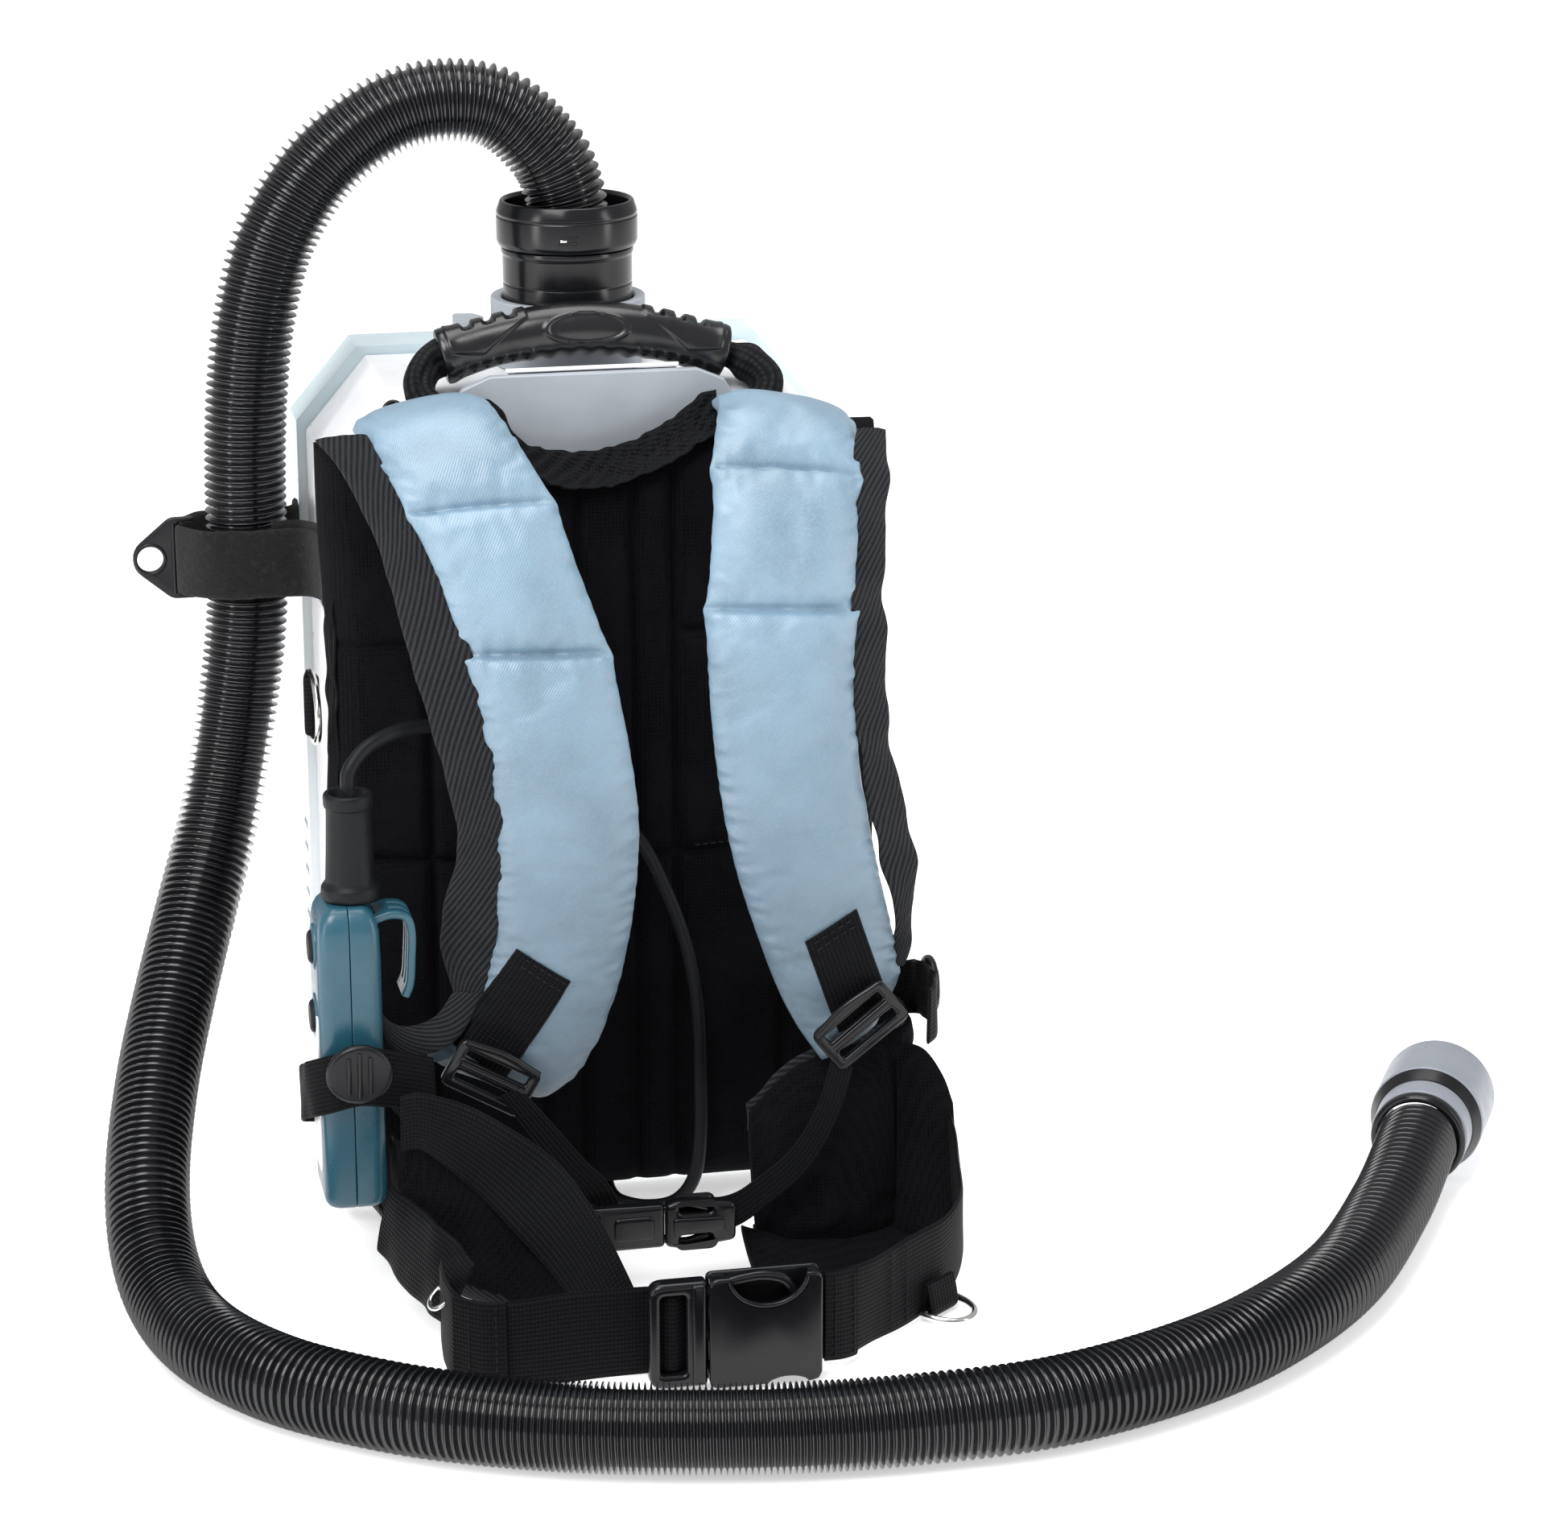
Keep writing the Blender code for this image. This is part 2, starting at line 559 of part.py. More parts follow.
def make_door():
    """Door over the dust chamber: a dished panel with two knuckles on its lower edge."""
    half = DOOR_HALF_WIDTH - DOOR_GAP
    low = DOOR_LOW + DOOR_GAP
    high = DOOR_HIGH - DOOR_GAP

    def outline(inset):
        right = [(half - DOOR_CORNER, low + inset), (half - inset, low + DOOR_CORNER),
                 (half - inset, high - DOOR_CORNER), (half - DOOR_CORNER, high - inset)]
        return right + [(-x, z) for x, z in reversed(right)]

    edge_y = DOOR_OUTER_Y - 4
    rings = [[point((x, y, z)) for x, z in outline(inset)]
             for y, inset in ((BACK_Y - 3, 0), (edge_y, 0), (DOOR_OUTER_Y, 7))]
    door = loft("dust_door", rings, "shell_blue", HINGE_AXIS)
    hollow = [[point((x, y, z)) for x, z in outline(inset)]
              for y, inset in ((BACK_Y - 8, 4), (edge_y, 5), (DOOR_OUTER_Y - 3, 9))]
    cut(door, loft("door_hollow", hollow))
    knuckle_half = 7.0
    for side in (-1, 1):
        x = side * KNUCKLE_X
        web = box("door_knuckle", (x - knuckle_half, HINGE_Y - 3.5, HINGE_Z - 3.5),
                  (x + knuckle_half, HINGE_Y + 3.5, DOOR_LOW + 3))
        join(door, web)
    cut(door, rod("knuckle_bore", (-80, HINGE_Y, HINGE_Z), (80, HINGE_Y, HINGE_Z), PIN_BORE))
    recess_half = LATCH_HALF_WIDTH + 1
    recess = box("latch_recess", (-recess_half, DOOR_OUTER_Y - 6, high - 28),
                 (recess_half, DOOR_OUTER_Y + THROUGH, high + THROUGH))
    cut(door, recess)
    return door


def make_latch():
    """Pull latch lying in the door's recess, hinged on its lower edge."""
    y, z = LATCH_AXIS[1], LATCH_AXIS[2]
    latch = box("door_latch", (-LATCH_HALF_WIDTH, y - 2.6, z),
                (LATCH_HALF_WIDTH, y + 2.4, z + LATCH_HEIGHT), "grey_plastic", LATCH_AXIS)
    return rounded(latch, 1.2)


def make_casing():
    make_front_shell()
    make_rear_shell()
    make_door()
    make_latch()
    rod("door_hinge_pin", (-70, HINGE_Y, HINGE_Z), (70, HINGE_Y, HINGE_Z), PIN_RADIUS, "metal",
        sides=16)


# ---------------------------------------------------------------- power

def battery_span(side):
    """Lowest and highest X of the pack on one side."""
    width = BATTERY_SIZE[0]
    if side < 0:
        return -BATTERY_GAP_X - width, -BATTERY_GAP_X
    return BATTERY_GAP_X, BATTERY_GAP_X + width


def make_battery(side, word):
    """A slide-in pack with a stepped end that carries its release button."""
    x_low, x_high = battery_span(side)
    y_low = BATTERY_END_Y - BATTERY_SIZE[1]
    z_low = BATTERY_LOW
    z_high = z_low + BATTERY_SIZE[2]
    pack = box("battery_" + word, (x_low, y_low, z_low), (x_high, BATTERY_END_Y, z_high - 8),
               "black_plastic")
    rounded(pack, 4.0)
    rail = box("battery_rail", (x_low + 12, y_low, z_high - 12), (x_high - 12, BATTERY_END_Y - 8, z_high))
    join(pack, rail)
    middle = (x_low + x_high) / 2
    cut(pack, box("button_pocket", (middle - 15, BATTERY_END_Y - 8, z_low + 12),
                  (middle + 15, BATTERY_END_Y + 3, z_low + 27)))
    button = box("battery_button_" + word, (middle - 14.6, BATTERY_END_Y - 4.5, z_low + 12.4),
                 (middle + 14.6, BATTERY_END_Y + 1.0, z_low + 26.6), "teal_plastic")
    rounded(button, 1.0)


def make_power():
    for side, word in ((-1, "left"), (1, "right")):
        make_battery(side, word)
    top = DOCK_LOW + 16.0
    dock = box("battery_dock", (-95, 14, DOCK_LOW), (95, 136, top), "grey_plastic")
    for side in (-1, 1):
        x_low, x_high = battery_span(side)
        cut(dock, box("dock_channel", (x_low + 11, 20, DOCK_LOW - 5), (x_high - 11, 140, DOCK_LOW + 1.5)))
    board = box("control_board", (-85, 17, 30), (85, 19, 84), "board_green")
    for x in (-55, -5, 45):
        join(board, box("board_part", (x, 18.5, 40), (x + 18, 27, 62)))


# ---------------------------------------------------------------- dust path and motor

def ring_profile(outer, inner, low, high):
    return [(outer, high), (outer, low), (inner, low), (inner, high)]


def make_dust_path():
    """Bag and its collar plate, flat filter, deck, fan and motor, top to bottom."""
    centre = (0, INLET_Y, 0)
    turned("bag_plate", ring_profile(44, 25, 332, 335), centre, "bag_paper", closed=True)
    bag_low, bag_high = BAG_SPAN
    bag = box("dust_bag", bag_low, bag_high, "bag_paper")
    rounded(bag, 14.0, 3)
    hollow_low = [value + BAG_WALL for value in bag_low]
    hollow_high = [value - BAG_WALL for value in bag_high]
    cut(bag, rounded(box("bag_hollow", hollow_low, hollow_high), 12.0, 3))
    cut(bag, rod("bag_mouth", (0, INLET_Y, 320), (0, INLET_Y, 340), TUBE_BORE))
    element_low, element_high = FILTER_SPAN
    element = box("filter_element", element_low, element_high, "filter_white")
    pleat_half = 2.0
    pleat_low = element_high[2] - 6
    for index in range(PLEATS):
        x = (index - (PLEATS - 1) / 2) * PLEAT_PITCH
        cut(element, box("pleat_groove", (x - pleat_half, element_low[1] - 6, pleat_low),
                         (x + pleat_half, element_high[1] + 6, element_high[2] + 4)))
    deck = box("motor_deck", (-104, 20, DECK_LOW), (104, 134, DECK_LOW + DECK_THICK), "grey_plastic")
    cut(deck, rod("deck_bore", (0, INLET_Y, DECK_LOW - 10), (0, INLET_Y, DECK_LOW + 10), 26.0))
    fan_top = DECK_LOW - GAP
    cover_wall = 3.0
    cover_bore = 26.0
    turned("fan_cover", [(FAN_RADIUS, fan_top), (FAN_RADIUS, FAN_LOW), (FAN_RADIUS - cover_wall, FAN_LOW),
                         (FAN_RADIUS - cover_wall, fan_top - cover_wall),
                         (cover_bore, fan_top - cover_wall), (cover_bore, fan_top)],
           centre, "grey_plastic", closed=True)
    make_impeller()
    turned("motor_can", ring_profile(MOTOR_RADIUS, SHAFT_RADIUS + 0.4, MOTOR_LOW, FAN_LOW - 4),
           centre, "metal", closed=True)
    rod("motor_shaft", (0, INLET_Y, MOTOR_LOW - 1.5), (0, INLET_Y, 177), SHAFT_RADIUS, "metal")


def make_impeller():
    """Fan wheel: a back plate, a hub and curved blades."""
    plate_low, blade_top = IMPELLER_SPAN
    plate_high = plate_low + 2.5
    hub_radius, plate_radius = 11.0, 41.0
    bore = SHAFT_RADIUS + 0.05
    wheel = turned("impeller", [(hub_radius, blade_top), (hub_radius, plate_high),
                                (plate_radius, plate_high), (plate_radius, plate_low),
                                (bore, plate_low), (bore, blade_top)],
                   (0, INLET_Y, 0), "grey_plastic", closed=True)
    for index in range(BLADES):
        turn = Matrix.Rotation(2 * math.pi * index / BLADES, 4, "Z")
        bm = bmesh.new()
        matrix = (Matrix.Translation(point((0, INLET_Y, 0))) @ turn
                  @ Matrix.Translation(point((*BLADE_AT, plate_high + 4)))
                  @ Matrix.Rotation(math.radians(BLADE_TURN), 4, "Z")
                  @ Matrix.Diagonal((*point(BLADE_SIZE), 1.0)))
        bmesh.ops.create_cube(bm, size=1.0, matrix=matrix)
        join(wheel, from_bmesh("blade", bm, None))
    return wheel


# ---------------------------------------------------------------- inlet

def make_inlet():
    """Fixed flange, the cuff that turns in it, its collar and the ferrule in the collar."""
    centre = (0, INLET_Y, 0)
    flange_low = BODY_HEIGHT - FRONT_STEP + GAP
    bore = TUBE_RADIUS + 0.5
    lip_low, lip_high = FLANGE_LIP
    turned("inlet_flange", [(FLANGE_NECK, lip_low), (FLANGE_NECK, flange_low), (bore, flange_low),
                            (bore, lip_high), (FLANGE_RADIUS, lip_high), (FLANGE_RADIUS, lip_low)],
           centre, "grey_plastic", closed=True, sides=40)
    turned("inlet_tube", ring_profile(TUBE_RADIUS, TUBE_BORE, TUBE_LOW, COLLAR_LOW - GAP), centre,
           "black_gloss", closed=True, sides=40)
    turned("inlet_collar", [(COLLAR_RADIUS - 2, COLLAR_TOP), (COLLAR_RADIUS, COLLAR_TOP - 2.5),
                            (COLLAR_RADIUS, COLLAR_LOW + 1.5), (COLLAR_RADIUS - 1.2, COLLAR_LOW),
                            (TUBE_BORE, COLLAR_LOW), (TUBE_BORE, COLLAR_LOW + 3),
                            (COLLAR_BORE, COLLAR_LOW + 5), (COLLAR_BORE, COLLAR_TOP)], centre,
           "black_gloss", closed=True, sides=40)
    turned("hose_ferrule", ring_profile(25.8, HOSE_RADIUS - 2.5, 417.5, 421), centre,
           "black_plastic", closed=True)
    x, y, z = LEVER_AXIS
    rings = [[point((x + across, y + along, level)) for across, along in LEVER_OUTLINE]
             for level in (z - 2.5, z + 2.0)]
    lever = loft("lock_lever", rings, "grey_plastic", LEVER_AXIS)
    rounded(lever, 0.8, 1)
    join(lever, rod("lever_boss", (x, y, LEVER_BOSS_LOW), (x, y, z), 4.0))


# ---------------------------------------------------------------- harness

def make_plate():
    """Grey mounting plate between the machine and the back pad."""
    outline_slab("harness_plate", PLATE_OUTLINE, PAD_BACK_Y + GAP, FRONT_Y - GAP, "grey_plastic")


def make_pad():
    """Back pad with a dipped neckline; its face is softened at the edges."""
    half = PAD_HALF_WIDTH
    corner = 10.0
    foot = 12.0
    neck_x = 54.0

    def outline(inset):
        right = [(half - 4 - inset, PAD_BOTTOM + inset), (half - inset, PAD_BOTTOM + foot),
                 (half - inset, 200), (half - inset, PAD_TOP - corner),
                 (half - corner - inset, PAD_TOP - inset), (neck_x, PAD_TOP - inset)]
        neck = [(x, z - inset) for x, z in PAD_NECKLINE]
        left = [(-x, z) for x, z in reversed(right)]
        return right + neck + left

    stations = [(PAD_BACK_Y, 0)] + [(PAD_FRONT_Y + depth, inset) for depth, inset in PAD_FACE]
    rings = [[point((x, y, z)) for x, z in outline(inset)] for y, inset in stations]
    loft("back_pad", rings, "mesh_fabric")


def make_straps():
    band("shoulder_strap_left", LEFT_STRAP, STRAP_THICK, padded_section, "strap_satin")
    band("shoulder_strap_right", RIGHT_STRAP, STRAP_THICK, padded_section, "strap_satin")


def curve_to_mesh(obj):
    """Turn a curve piece into a welded mesh object of the same name."""
    graph = bpy.context.evaluated_depsgraph_get()
    mesh = bpy.data.meshes.new_from_object(obj.evaluated_get(graph))
    bm = bmesh.new()
    bm.from_mesh(mesh)
    bmesh.ops.remove_doubles(bm, verts=bm.verts, dist=WELD)
    bmesh.ops.recalc_face_normals(bm, faces=bm.faces)
    bm.to_mesh(mesh)
    bm.free()
    name = obj.name
    bpy.data.objects.remove(obj)
    made = bpy.data.objects.new(name, mesh)
    mesh.name = name
    made.parent = MACHINE
    PARTS.objects.link(made)
    return made


def make_grip():
    """Moulded carrying grip on a rolled webbing that runs through it."""
    ends = smooth_route(GRIP_ROUTE, 3)
    grip = curve_to_mesh(tube("grip", ends, GRIP_RADIUS, "black_plastic", 4))
    channel_route = smooth_route(GRIP_WEB_ROUTE, 3)
    channel_radius = GRIP_WEB_RADIUS + 0.4
    channel = curve_to_mesh(tube("grip_channel", channel_route, channel_radius, "black_plastic", 3))
    cut(grip, channel)
    tube("grip_webbing", channel_route, GRIP_WEB_RADIUS, "webbing", 3)


def ladder_lock(name, centre, tilt):
    """Three-bar slider on the strap's end; tilt turns it in its own plane."""
    half_x, half_y, half_z = (value / 2 for value in LOCK_SIZE)
    lock = box(name, (-half_x, -half_y, -half_z), (half_x, half_y, half_z), "black_plastic")
    for low in (-half_z + LOCK_FRAME, 3.0):
        slot = box("lock_slot", (-half_x + LOCK_FRAME, -half_y - THROUGH, low),
                   (half_x - LOCK_FRAME, half_y + THROUGH, low + LOCK_SLOT))
        slot.parent = lock
        cut(lock, slot)
    lock.location = point(centre)
    lock.rotation_euler = (0, math.radians(tilt), 0)


def make_lower_webbing():
    """Ladder locks at the strap ends, their webbings and the side adjusters."""
    for word, (centre, tilt) in LOCKS.items():
        ladder_lock("ladder_lock_" + word, centre, tilt)
    webbing("strap_webbing_left", STRAP_WEB_LEFT, STRAP_WEB_WIDTH, STRAP_WEB_THICK)
    webbing("strap_webbing_right", STRAP_WEB_RIGHT, STRAP_WEB_WIDTH, STRAP_WEB_THICK)
    for word, (centre, turn) in ADJUSTERS.items():
        side_adjuster("side_adjuster_" + word, centre, turn)


def side_adjuster(name, centre, turn):
    """Round-ended webbing slider lying on the outside of its webbing."""
    piece = turned(name, ADJUSTER_PROFILE, centre, "black_plastic", sides=24)
    piece.rotation_mode = "XYZ"
    piece.rotation_euler = (math.radians(90), 0, math.radians(turn))
    return piece


def make_hip_pads():
    band("hip_pad_left", HIP_LEFT, HIP_THICK, padded_section, "mesh_fabric")
    band("hip_pad_right", HIP_RIGHT, HIP_THICK, padded_section, "mesh_fabric")


def make_belt():
    """Waist belt webbings with the side-release buckle between them."""
    webbing("belt_webbing_left", BELT_LEFT, BELT_WIDTH, BELT_THICK)
    webbing("belt_webbing_right", BELT_RIGHT, BELT_WIDTH, BELT_THICK)
    y_low = BUCKLE_Y - BUCKLE_HALF_DEPTH
    y_high = BUCKLE_Y + BUCKLE_HALF_DEPTH
    z_high = BUCKLE_LOW + BUCKLE_HEIGHT
    centre_z = BUCKLE_LOW + BUCKLE_HEIGHT / 2
    wall = 4.0
    socket_low, socket_high = SOCKET_X
    socket = box("belt_socket", (socket_low, y_low, BUCKLE_LOW), (socket_high, y_high, z_high),
                 "black_gloss")
    rounded(socket, 2.5)
    cut(socket, box("socket_hollow", (socket_low - THROUGH, y_low + BUCKLE_WALL, BUCKLE_LOW + wall),
                    (socket_high - 2 * wall, y_high - BUCKLE_WALL, z_high - wall)))
    window_low, window_high = socket_low + 10, socket_low + 34
    window_half = 6.0
    for z in (BUCKLE_LOW, z_high):
        cut(socket, box("socket_window", (window_low, y_low + BUCKLE_WALL, z - window_half),
                        (window_high, y_high - BUCKLE_WALL, z + window_half)))
    plug_low, plug_high = PLUG_X
    plug = box("belt_plug", (plug_low, y_low, BUCKLE_LOW + 1), (plug_high, y_high, z_high - 1),
               "black_gloss")
    rounded(plug, 2.0)
    frame = 6.0
    slot_width = 3.8
    cut(plug, box("plug_slot", (plug_low + frame, y_low - THROUGH, BUCKLE_LOW + frame),
                  (plug_low + frame + slot_width, y_high + THROUGH, z_high - frame)))
    reach = socket_high - 10
    prong_low = wall + 0.6
    prong_high = 11.0
    prong_inset = BUCKLE_WALL + 0.6
    for z_low, z_top in ((BUCKLE_LOW + prong_low, BUCKLE_LOW + prong_high), (centre_z - 4, centre_z + 4),
                         (z_high - prong_high, z_high - prong_low)):
        join(plug, box("plug_prong", (plug_high - 3, y_low + prong_inset, z_low),
                       (reach, y_high - prong_inset, z_top)))


def make_chest_strap():
    """Narrow chest strap hanging from the strap ends, with its small buckle."""
    z, y = CHEST_Z, CHEST_Y
    deep = CHEST_HALF_DEPTH
    socket_half, plug_half, hollow_half = 11.0, 10.0, 8.0
    socket = box("chest_socket", (6, y - deep, z - socket_half), (36, y + deep, z + socket_half),
                 "black_plastic")
    rounded(socket, 2.0)
    cut(socket, box("chest_hollow", (0, y - 2.4, z - hollow_half), (30, y + 2.4, z + hollow_half)))
    plug = box("chest_plug", (-34, y - deep, z - plug_half), (5.6, y + deep, z + plug_half),
               "black_plastic")
    rounded(plug, 2.0)
    prong = 4.0
    for low in (z - 7.5, z - 2, z + 3.5):
        join(plug, box("chest_prong", (3, y - prong / 2, low), (28, y + prong / 2, low + prong)))
    slot_half = 8.4
    cut(plug, box("chest_slot", (-29, y - deep - THROUGH, z - slot_half),
                  (-25.4, y + deep + THROUGH, z + slot_half)))
    for word, route in (("left", CHEST_LEFT), ("right", CHEST_RIGHT)):
        webbing("chest_webbing_" + word, route, CHEST_WEB_WIDTH, CHEST_WEB_THICK,
                across=CHEST_WEB_LEAN)


# ---------------------------------------------------------------- small fittings

def d_ring(name, bar_low, bar_high, bulge):
    """A welded D: a straight bar and a bow that stands out by the bulge vector."""
    low, high, out = Vector(bar_low), Vector(bar_high), Vector(bulge)
    half = (high - low) / 2
    middle = (low + high) / 2
    count = 14
    route = [middle]
    for index in range(count + 1):
        angle = math.pi * index / count
        route.append(middle + half * math.cos(angle) + out * math.sin(angle))
    curve = bpy.data.curves.new(name, "CURVE")
    curve.dimensions = "3D"
    curve.bevel_depth = mm(D_RING_WIRE)
    curve.bevel_resolution = 2
    spline = curve.splines.new("POLY")
    spline.points.add(len(route) - 1)
    for target, values in zip(spline.points, route):
        target.co = (*point(values), 1.0)
    spline.use_cyclic_u = True
    curve.materials.append(MATERIALS["metal"])
    obj = bpy.data.objects.new(name, curve)
    obj.parent = MACHINE
    PARTS.objects.link(obj)
    return obj


def make_hose_holder():
    """Hook-and-loop band round the hose, with its three-cornered ring."""
    x, y, z = HOSE_HOLD
    stand_off = HOSE_RADIUS + 2.4
    near, far = y - stand_off, y + stand_off
    route = [(-113.4, 26, z), (-113.6, 38, z), (-121, near - 1, z), (x, near - 1.5, z),
             (-160, near + 2, z), (-171, 62, z), (-171.6, 68, z), (-170, 80, z),
             (-160, far - 1, z), (x, far + 1, z), (-126, far, z), (-118.6, far + 6, z),
             (-117.6, far + 16, z)]
    webbing("hose_band", route, BAND_WIDTH, BAND_THICK, "hook_loop")
    ring_x, ring_y, ring_z = BAND_RING_AXIS
    outline = [(ring_x + across, ring_z + up) for across, up in BAND_RING_OUTLINE]
    ring = outline_slab("band_ring", outline, ring_y - 1.5, ring_y + 1.5, "black_plastic",
                        BAND_RING_AXIS)
    slot_half = 15.6
    cut(ring, box("ring_slot", (ring_x - 5.4, ring_y - THROUGH, ring_z - slot_half),
                  (ring_x - 1.0, ring_y + THROUGH, ring_z + slot_half)))
    eye_x = ring_x - 12
    cut(ring, rod("ring_eye", (eye_x, ring_y - THROUGH, ring_z), (eye_x, ring_y + THROUGH, ring_z),
                  RING_EYE_RADIUS, sides=16))


# ---------------------------------------------------------------- switch unit

def make_switch_unit():
    """Two-part case with clip, two buttons on its outer side and a rubber boot."""
    x_low, x_high = CASE_X
    y_low, y_high = CASE_Y
    parting = GAP / 2
    outer = box("switch_case_outer", (x_low, y_low, CASE_LOW), (CASE_SPLIT - parting, y_high, CASE_HIGH),
                "teal_plastic")
    inner = box("switch_case_inner", (CASE_SPLIT + parting, y_low, CASE_LOW), (x_high, y_high, CASE_HIGH),
                "teal_plastic")
    middle_y = (y_low + y_high) / 2
    for half in (outer, inner):
        rounded(half, CASE_WALL)
    cut(outer, box("outer_hollow", (x_low + CASE_WALL, y_low + CASE_WALL, CASE_LOW + CASE_WALL),
                   (CASE_SPLIT + THROUGH, y_high - CASE_WALL, CASE_HIGH - CASE_WALL)))
    cut(inner, box("inner_hollow", (CASE_SPLIT - THROUGH, y_low + CASE_WALL, CASE_LOW + CASE_WALL),
                   (x_high - CASE_WALL, y_high - CASE_WALL, CASE_HIGH - CASE_WALL)))
    clip_half = 9.0
    clip_low, clip_root, clip_high = 134.0, 160.0, 166.0
    reach = x_high + 15
    join(inner, box("clip_root", (x_high - 2, middle_y - clip_half, clip_root),
                    (reach, middle_y + clip_half, clip_high)))
    join(inner, box("clip_arm", (reach - 4, middle_y - clip_half, clip_low),
                    (reach, middle_y + clip_half, clip_high - 2)))
    for name, z in BUTTONS.items():
        cut(outer, rod("button_bore", (x_low - 4, middle_y, z), (x_low + 6, middle_y, z),
                       BUTTON_RADIUS + 0.4))
        rod(name, (x_low - 2.4, middle_y, z), (x_low + 1.0, middle_y, z), BUTTON_RADIUS, "rubber")
    bore = CABLE_RADIUS + 0.4
    low = CASE_HIGH + GAP
    turned("switch_boot", [(7.2, BOOT_TOP), (8.0, BOOT_TOP - 2), (9.0, 184), (12.0, 183), (12.0, low),
                           (bore, low), (bore, BOOT_TOP)],
           (BOOT_X, middle_y, 0), "rubber", closed=True, sides=20)


# ---------------------------------------------------------------- hose and cable

def make_hose_and_cable():
    tube("hose", smooth_route(HOSE_ROUTE, 1), HOSE_RADIUS, "black_gloss", 3)
    tube("switch_cable", smooth_route(CABLE_ROUTE, 2), CABLE_RADIUS, "rubber", 2)
    start, end = Vector(CUFF_START), Vector(CUFF_END)
    axis = (end - start).normalized()
    bore = HOSE_RADIUS + 0.5
    ring_length = 10.0
    ring_radius = 23.0
    turned("hose_end_ring", [(ring_radius - 1, ring_length), (ring_radius, ring_length - 1),
                             (ring_radius, 0), (bore, 0), (bore, ring_length)],
           start, "black_plastic", axis, True)
    length = (end - start).length
    cuff_low = ring_length + 0.4
    cuff_radius, cuff_bore = 25.2, 17.0
    turned("hose_end_cuff", [(cuff_radius, length), (cuff_radius, length - 25), (24, length - 27),
                             (23, 13), (20, cuff_low), (cuff_bore, cuff_low), (cuff_bore, 16),
                             (22.5, length)], start, "grey_plastic", axis, True)


def main():
    make_casing()
    make_power()
    make_dust_path()
    make_inlet()
    make_plate()
    make_pad()
    make_straps()
    make_grip()
    make_lower_webbing()
    make_hip_pads()
    make_belt()
    make_chest_strap()
    d_ring("side_ring", *SIDE_RING)
    d_ring("belt_ring", *BELT_RING)
    make_hose_holder()
    make_switch_unit()
    make_hose_and_cable()


main()
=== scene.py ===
"""Looks of the cordless backpack vacuum cleaner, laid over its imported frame.

Sizes are millimetres in the machine's own frame, as in the part's source, and are turned
into metres in the row frame.  X runs across the wearer's back, -Y is the wearer's side.
"""

import json
import math

import bmesh
import bpy
import numpy as np
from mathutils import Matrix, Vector, noise
from mathutils.bvhtree import BVHTree


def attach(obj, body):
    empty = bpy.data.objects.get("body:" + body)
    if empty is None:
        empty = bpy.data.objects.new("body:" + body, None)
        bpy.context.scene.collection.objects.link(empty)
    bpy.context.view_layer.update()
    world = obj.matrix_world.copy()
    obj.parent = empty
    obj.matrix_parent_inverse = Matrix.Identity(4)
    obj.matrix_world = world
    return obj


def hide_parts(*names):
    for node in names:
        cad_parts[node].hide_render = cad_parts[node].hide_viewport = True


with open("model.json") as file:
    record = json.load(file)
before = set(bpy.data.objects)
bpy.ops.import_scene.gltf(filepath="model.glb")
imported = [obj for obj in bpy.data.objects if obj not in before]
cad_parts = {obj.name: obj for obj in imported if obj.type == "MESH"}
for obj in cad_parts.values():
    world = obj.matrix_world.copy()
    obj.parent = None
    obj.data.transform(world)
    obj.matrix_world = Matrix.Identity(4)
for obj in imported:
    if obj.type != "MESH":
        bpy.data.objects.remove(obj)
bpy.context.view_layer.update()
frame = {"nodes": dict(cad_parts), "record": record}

MACHINE_SHIFT = np.array((24.8, 31.75, 0.0))    # machine frame to row frame
MM = 0.001
CLOTH_MAP = "cloth"                             # the map that weaves follow, in metres
SHOULDER_FADE = (0.300, 0.335)                  # heights in metres between which a shell turns pale
STRAP_PAINTED_SHADE = (0.09, 0.29)                       # and a strap's satin takes painted shade, darker towards the floor
TWILL_PITCH = 0.0046                            # metres from rib to rib of a binding's twill
TWILL_SLOPE = 0.55
MERGE_WITHIN = 0.000002                         # metres between points that are one point
UPRIGHT = (0, 0, 1)
COLLAR_RADIUS = 30.5


def metres(points):
    """Points in millimetres in the machine's frame, as metres in the row frame."""
    return (np.asarray(points, float) + MACHINE_SHIFT) * MM


# ---------------------------------------------------------------- node trees

def new_material(name, colour, roughness, **inputs):
    material = bpy.data.materials.new(name)
    material.use_nodes = True
    shader = material.node_tree.nodes["Principled BSDF"]
    shader.inputs["Base Color"].default_value = (*colour, 1.0)
    shader.inputs["Roughness"].default_value = roughness
    for key, value in inputs.items():
        shader.inputs[key.replace("_", " ")].default_value = value
    return material, material.node_tree, shader


def node(tree, kind, links=None, **settings):
    """A node with its settings, and its inputs set or linked by name or number."""
    made = tree.nodes.new("ShaderNode" + kind)
    for key, value in settings.items():
        setattr(made, key, value)
    for key, value in (links or {}).items():
        if isinstance(value, bpy.types.NodeSocket):
            tree.links.new(value, made.inputs[key])
        else:
            made.inputs[key].default_value = value
    return made


def maths(tree, operation, first, second=0.0):
    return node(tree, "Math", {0: first, 1: second}, operation=operation).outputs[0]


def product(tree, first, second):
    return maths(tree, "MULTIPLY", first, second)


def noise_at(tree, vector, scale, detail=3.0, roughness=0.55):
    made = node(tree, "TexNoise", {"Vector": vector, "Scale": scale, "Detail": detail,
                                   "Roughness": roughness})
    return made.outputs["Fac"]


def spread(tree, value, low, high, to_low=0.0, to_high=1.0):
    made = node(tree, "MapRange", {"Value": value, "From Min": low, "From Max": high,
                                   "To Min": to_low, "To Max": to_high})
    return made.outputs["Result"]


